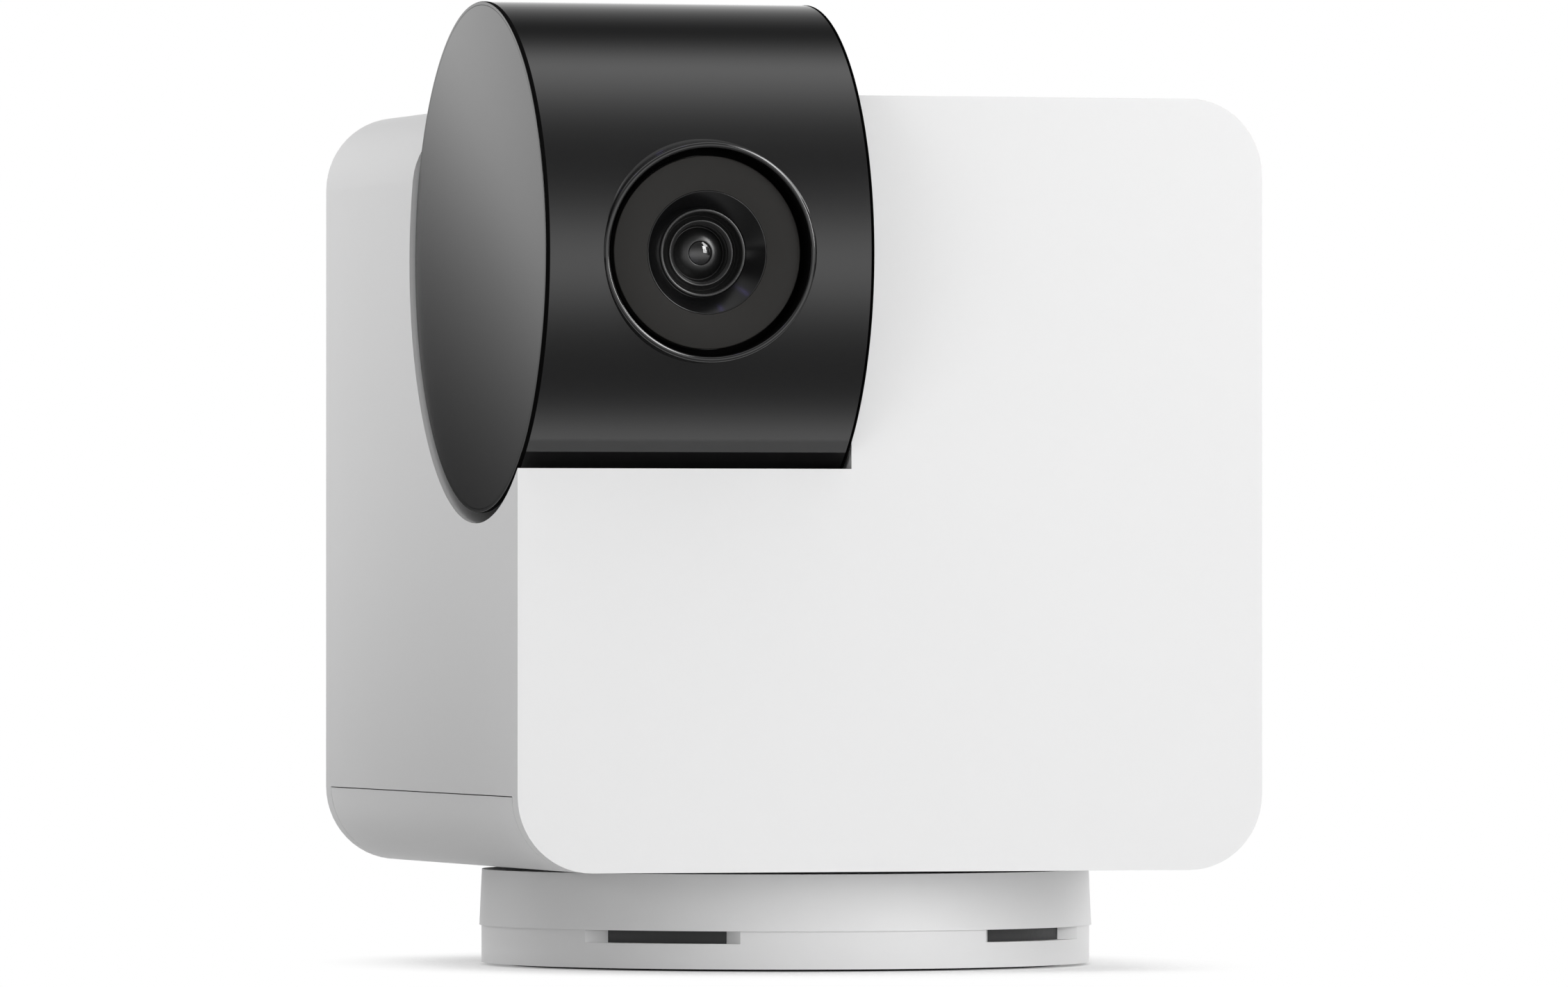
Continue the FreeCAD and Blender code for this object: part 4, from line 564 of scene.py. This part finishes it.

# Front glass. A small high-index meniscus in the nose, coated, and tinted near black: the tint is painted
# shade, for the dark stop and the dark inside of the lens behind it. The rear glass and the infrared filter
# sit unseen at the barrel's other end.
GLASS_RADIUS, GLASS_CURVE, GLASS_TOP, GLASS_BACK = 1.1, 2.3, 3.62, 4.7
GLASS_START, GLASS_ROWS, GLASS_COLUMNS = 0.02, 24, 96
# Its near-black tint is painted shade, which stands for the dark inside of the lens.
shade_tinted_glass = clear_material("shade_tinted_glass", (0.02, 0.02, 0.026), roughness=0.0, bend=1.65)
out = np.linspace(GLASS_START, GLASS_RADIUS, GLASS_ROWS)
dome = np.column_stack([out, GLASS_TOP + GLASS_CURVE - np.sqrt(GLASS_CURVE ** 2 - out ** 2)])
glass = np.vstack([dome, [(GLASS_RADIUS, GLASS_BACK), (GLASS_START, GLASS_BACK)]])
new_piece("front_lens_glass", [turned(glass, LENS_CENTRE, "Y", GLASS_COLUMNS)], shade_tinted_glass, "head",
          "lens_glass", "front_lens")
dress(shade_tinted_glass, "rear_lens", "infrared_filter")

# Studio. A pale floor and a white surround, with soft lamps in front and to the right, above,
# close behind the left side, and low at the left. None of it is a part of the camera.
FLOOR_REACH, FADE_START, FADE_END, FADE_SQUEEZE = 12.0, 0.031, 0.062, 1.3
FLOOR_TONE, FLOOR_LIFT, GATHERED_LIGHT = 0.86, 0.2, 0.36


def bare_material(name):
    """A material without any shader: the material and its empty tree."""
    material = bpy.data.materials.new(name)
    material.use_nodes = True
    material.node_tree.nodes.clear()
    return material, material.node_tree


def open_mesh(name, points, faces, material, *hidden):
    """An object of plain faces in metres, which the named kinds of ray pass by."""
    mesh = bpy.data.meshes.new(name)
    mesh.from_pydata(points, [], faces)
    mesh.materials.append(material)
    thing = bpy.data.objects.new(name, mesh)
    bpy.context.scene.collection.objects.link(thing)
    for kind in hidden:
        setattr(thing, "visible_" + kind, False)
    return thing


def seen_directly(tree):
    """1 for rays from the camera, a reflection or through glass, and 0 for light that is gathered."""
    path = add(tree, "ShaderNodeLightPath")
    both = add(tree, "ShaderNodeMath", {0: path.outputs["Is Camera Ray"], 1: path.outputs["Is Glossy Ray"]},
               operation="MAXIMUM")
    return add(tree, "ShaderNodeMath", {0: both.outputs[0], 1: path.outputs["Is Transmission Ray"]},
               operation="MAXIMUM").outputs[0]


def floor_material():
    """Pale floor: a diffuse sheet, lifted where it is seen so that only the shadow near the object
    shows. It fades to plain white further out, sooner to the sides than to the front and rear."""
    material, tree = bare_material("pale_floor")
    seen = seen_directly(tree)
    sheet = add(tree, "ShaderNodeBsdfDiffuse", {"Color": (FLOOR_TONE, FLOOR_TONE, FLOOR_TONE, 1)})
    lift = add(tree, "ShaderNodeMath", {0: seen, 1: FLOOR_LIFT}, operation="MULTIPLY")
    glow = add(tree, "ShaderNodeEmission", {"Strength": lift.outputs[0]})
    near = add(tree, "ShaderNodeAddShader", {0: sheet.outputs[0], 1: glow.outputs[0]})
    place = add(tree, "ShaderNodeTexCoord").outputs["Object"]
    squeezed = add(tree, "ShaderNodeVectorMath", {0: place, 1: (FADE_SQUEEZE, 1, 1)}, operation="MULTIPLY")
    reach = add(tree, "ShaderNodeVectorMath", {0: squeezed.outputs[0]}, operation="LENGTH")
    fade = add(tree, "ShaderNodeMapRange", {"Value": reach.outputs["Value"], "From Min": FADE_START,
                                            "From Max": FADE_END}, interpolation_type="SMOOTHSTEP")
    share = add(tree, "ShaderNodeMath", {0: fade.outputs[0], 1: seen}, operation="MULTIPLY")
    white = add(tree, "ShaderNodeEmission", {"Strength": 1.0})
    mixed = add(tree, "ShaderNodeMixShader", {0: share.outputs[0], 1: near.outputs[0], 2: white.outputs[0]})
    add(tree, "ShaderNodeOutputMaterial", {"Surface": mixed.outputs[0]})
    return material


floor_corners = [(-FLOOR_REACH, -FLOOR_REACH, 0), (FLOOR_REACH, -FLOOR_REACH, 0),
                 (FLOOR_REACH, FLOOR_REACH, 0), (-FLOOR_REACH, FLOOR_REACH, 0)]
floor = open_mesh("floor", floor_corners, [(0, 1, 2, 3)], floor_material())

world = bpy.data.worlds.new("white_surround")
world.use_nodes = True
bpy.context.scene.world = world
sky = world.node_tree
level = add(sky, "ShaderNodeMapRange", {"Value": seen_directly(sky), "To Min": GATHERED_LIGHT, "To Max": 1.0})
sky.links.new(level.outputs[0], sky.nodes["Background"].inputs["Strength"])
sky.nodes["Background"].inputs["Color"].default_value = (1, 1, 1, 1)


def soft_lamp(name, place, target, width, height, power):
    """An area lamp that faces a target, in metres and watts, and shows in no reflection."""
    lamp = bpy.data.lights.new(name, "AREA")
    lamp.shape = "RECTANGLE"
    lamp.size, lamp.size_y, lamp.energy = width, height, power
    thing = bpy.data.objects.new(name, lamp)
    thing.location = place
    thing.rotation_euler = (Vector(target) - Vector(place)).to_track_quat("-Z", "Y").to_euler()
    bpy.context.scene.collection.objects.link(thing)
    thing.visible_glossy = False


soft_lamp("front_lamp", (0.72, -0.98, 0.3), target=(0, 0, 0.04), width=0.8, height=0.8, power=8.6)
soft_lamp("top_lamp", (0.1, -0.2, 1.2), target=(0, 0, 0), width=1.2, height=1.2, power=5.6)
soft_lamp("rear_lamp", (-0.14, 0.17, 0.07), target=(-0.04, 0.03, 0.05), width=0.1, height=0.12, power=0.11)
soft_lamp("left_lamp", (-0.9, -0.8, 0.12), target=(-0.02, 0, 0.04), width=0.5, height=0.3, power=1.3)

# Grey card. It lies on the table at the left, where the gathered light alone meets it, and
# keeps the table's own light off the cube's lower left.
CARD_LEFT, CARD_RIGHT, CARD_FRONT, CARD_BACK = -0.085, -0.038, -0.045, 0.06
CARD_RISE, CARD_LEVEL = 0.0015, 0.05


def grey_card():
    """A flat rectangle just above the table, seen by gathered light alone and only from above."""
    material, tree = bare_material("grey_card")
    glow = add(tree, "ShaderNodeEmission", {"Strength": CARD_LEVEL})
    below = add(tree, "ShaderNodeNewGeometry").outputs["Backfacing"]
    mixed = add(tree, "ShaderNodeMixShader", {0: below, 1: glow.outputs[0],
                                              2: add(tree, "ShaderNodeBsdfTransparent").outputs[0]})
    add(tree, "ShaderNodeOutputMaterial", {"Surface": mixed.outputs[0]})
    corners = [(CARD_LEFT, CARD_FRONT, CARD_RISE), (CARD_RIGHT, CARD_FRONT, CARD_RISE),
               (CARD_RIGHT, CARD_BACK, CARD_RISE), (CARD_LEFT, CARD_BACK, CARD_RISE)]
    return open_mesh("grey_card", corners, [(0, 1, 2, 3)], material,
                     "camera", "glossy", "transmission", "volume_scatter", "shadow")


grey_card()

# Light tent and cards. White cloth strips and small cards that only reflections see, as a
# studio hangs round a glossy thing: bright in front and above, dark between. Millimetres and
# degrees; a hump of the tent has a height, a middle, and a width below and above it.
TENT_REACH, TENT_SIDE, TENT_EDGE, TABLE_HEIGHT = 450.0, 1500.0, 450.0, 0.6
TENT_LOW, TENT_HIGH, TENT_ROWS, TENT_COLUMNS = -46, 84, 261, 61
TENT_LEVEL, TENT_HUMPS = 0.24, ((-0.15, 124, 14, 14), (1.28, -3, 25, 25), (0.9, -92, 18, 18),
                                (1.3, 92, 25, 14.5), (0.55, 170, 20, 20))
SIDE_LEVEL, SIDE_POWER, EDGE_HEIGHT, EDGE_WIDTH, EDGE_LEFT = 0.12, 6, 0.6, 120, 0.5
EDGE_LEVEL, EDGE_LEAST, EDGE_RAMP = 0.5, 0.1, 40
CAP_LEVEL, CAP_LEAST, CAP_MOST, CAP_RISE, CAP_FALL = 0.4, 0.05, 1.2, 0.045, 0.02
CARD_DISTANCE, CAP_DISTANCE, WINDOW_LEVEL = 420.0, 300.0, 15.0
BAR_TOP, BAR_DARK, BARS = 20, 0.9, ((-14, 10), (34, 9))


def light_card(name, points, level, colour=(1, 1, 1)):
    """A grid of points in millimetres that glows by the level at each, in reflections alone."""
    rows, columns = level.shape
    row, column = np.arange(rows - 1)[:, None], np.arange(columns - 1)[None, :]
    first = row * columns + column
    faces = np.stack([first, first + 1, first + columns + 1, first + columns], -1).reshape(-1, 4)
    material, tree = bare_material(name)
    level_node = add(tree, "ShaderNodeAttribute", attribute_name="level")
    glow = add(tree, "ShaderNodeEmission", {"Color": (*colour, 1), "Strength": level_node.outputs["Fac"]})
    add(tree, "ShaderNodeOutputMaterial", {"Surface": glow.outputs[0]})
    card = open_mesh(name, (points.reshape(-1, 3) * MM).tolist(), faces.tolist(), material,
                     "camera", "diffuse", "transmission", "volume_scatter", "shadow")
    card.data.attributes.new("level", "FLOAT", "POINT").data.foreach_set("value", level.ravel())


def hump(angle, middle, width):
    """1 at the middle, dying away as a bell curve of the angle over the width."""
    return np.exp(-((angle - middle) / width) ** 2)


def tent():
    """A cloth bent round the X axis. Its section is where rays along -Y end after the drum turns
    them by twice its normal's angle: at the tent's reach, or on the table in front. Its level is
    a sum of humps over that angle, which falls away to the sides; a ridge stands on the upper part
    at both edges, the left at half its height."""
    lean = np.radians(np.linspace(TENT_LOW, TENT_HIGH, TENT_ROWS))
    start = np.stack([DRUM_Y - DRUM_RADIUS * np.cos(lean), DRUM_Z + DRUM_RADIUS * np.sin(lean)], -1)
    way = np.stack([-np.cos(2 * lean), np.sin(2 * lean)], -1)
    drop = np.where(way[:, 1] < 0, (start[:, 1] - TABLE_HEIGHT) / np.maximum(-way[:, 1], 1e-6), TENT_REACH)
    section = start + way * np.minimum(drop, TENT_REACH)[:, None]
    angle = np.degrees(2 * lean)
    level = TENT_LEVEL + sum(height * hump(angle, middle, np.where(angle < middle, below, above))
                             for height, middle, below, above in TENT_HUMPS)
    across, wide = np.linspace(-TENT_SIDE, TENT_SIDE, TENT_COLUMNS)[None, :], np.ones((1, TENT_COLUMNS))
    points = np.stack([across + 0 * level[:, None], section[:, :1] * wide, section[:, 1:] * wide], -1)
    keep = 1 / (1 + (across / TENT_EDGE) ** SIDE_POWER)
    edge = hump(across, TENT_EDGE, EDGE_WIDTH) + EDGE_LEFT * hump(across, -TENT_EDGE, EDGE_WIDTH)
    edge = edge * np.clip(EDGE_LEVEL + angle / EDGE_RAMP, EDGE_LEAST, 1)[:, None]
    return points, (level[:, None] - SIDE_LEVEL) * keep + SIDE_LEVEL + EDGE_HEIGHT * edge


def facing_card(away, distance, half_width, half_height, steps, target=(LENS_X, -45.0, DRUM_Z)):
    """A flat grid at a distance from the target along a direction, upright and facing it: its
    points, and its own two measures across and up."""
    away = np.array(away, float) / np.linalg.norm(away)
    side = np.cross(away, (0, 0, 1))
    side /= np.linalg.norm(side)
    across, up = np.meshgrid(np.linspace(-half_width, half_width, steps),
                             np.linspace(-half_height, half_height, steps))
    rise = np.cross(side, away)
    return np.array(target) + distance * away + across[..., None] * side + up[..., None] * rise, across, up


light_card("light_tent", *tent())
points, across, up = facing_card((-0.2767, 0.961, 0), CAP_DISTANCE, half_width=90.0, half_height=120.0,
                                 steps=61, target=(DRUM_LEFT, DRUM_Y, DRUM_Z))
glow_levels = CAP_LEVEL * np.exp(CAP_RISE * up - CAP_FALL * across)
light_card("cap_card", points, np.clip(glow_levels, CAP_LEAST, CAP_MOST))
points, across, up = facing_card((0.57, -0.76, 0.31), CARD_DISTANCE, half_width=62.0, half_height=115.0,
                                 steps=41)
bars = np.where(up < BAR_TOP, sum(hump(across, middle, width) for middle, width in BARS), 0)
light_card("window_card", points, WINDOW_LEVEL * (1 - BAR_DARK * np.clip(bars, 0, 1)))
WHITE, VIOLET = (1, 1, 1), (0.42, 0.36, 0.9)
for name, away, half, level, colour in (("right_card", (0.62, -0.48, 0.64), 85.0, 9.0, WHITE),
                                        ("side_card", (0.8, -0.13, 0.58), 90.0, 7.0, WHITE),
                                        ("upper_glint", (0.013, -0.125, 0.992), 12.0, 7.0, VIOLET),
                                        ("side_glint", (-0.528, -0.2505, 0.811), 12.0, 7.0, VIOLET)):
    points, across, up = facing_card(away, CARD_DISTANCE, half, half, steps=9)
    light_card(name, points, np.full(across.shape, level), colour)

# Camera. A long lens at the photograph's angle, 16 degrees to the left of the front and all but
# level, as fitted to edges measured there. The focal length and width are in its pixels.
HEADING, PITCH = math.radians(16.065), math.radians(0.4084)
DISTANCE, ASIDE, HEIGHT = 1.38619, -0.000131, 0.03741
FOCAL_PIXELS, WIDTH_PIXELS, SENSOR_WIDTH, NEAREST, FURTHEST = 19844.0, 2257.0, 36.0, 0.05, 100.0
camera = bpy.data.objects.new("camera", bpy.data.cameras.new("camera"))
camera.data.sensor_width = SENSOR_WIDTH
camera.data.lens = FOCAL_PIXELS / WIDTH_PIXELS * SENSOR_WIDTH
camera.data.clip_start, camera.data.clip_end = NEAREST, FURTHEST
camera.location = (-DISTANCE * math.sin(HEADING) + ASIDE * math.cos(HEADING),
                   -DISTANCE * math.cos(HEADING) - ASIDE * math.sin(HEADING), HEIGHT)
camera.rotation_euler = (math.pi / 2 + PITCH, 0, -HEADING)
bpy.context.scene.collection.objects.link(camera)
bpy.context.scene.camera = camera
bpy.context.scene.view_settings.view_transform = "Standard"
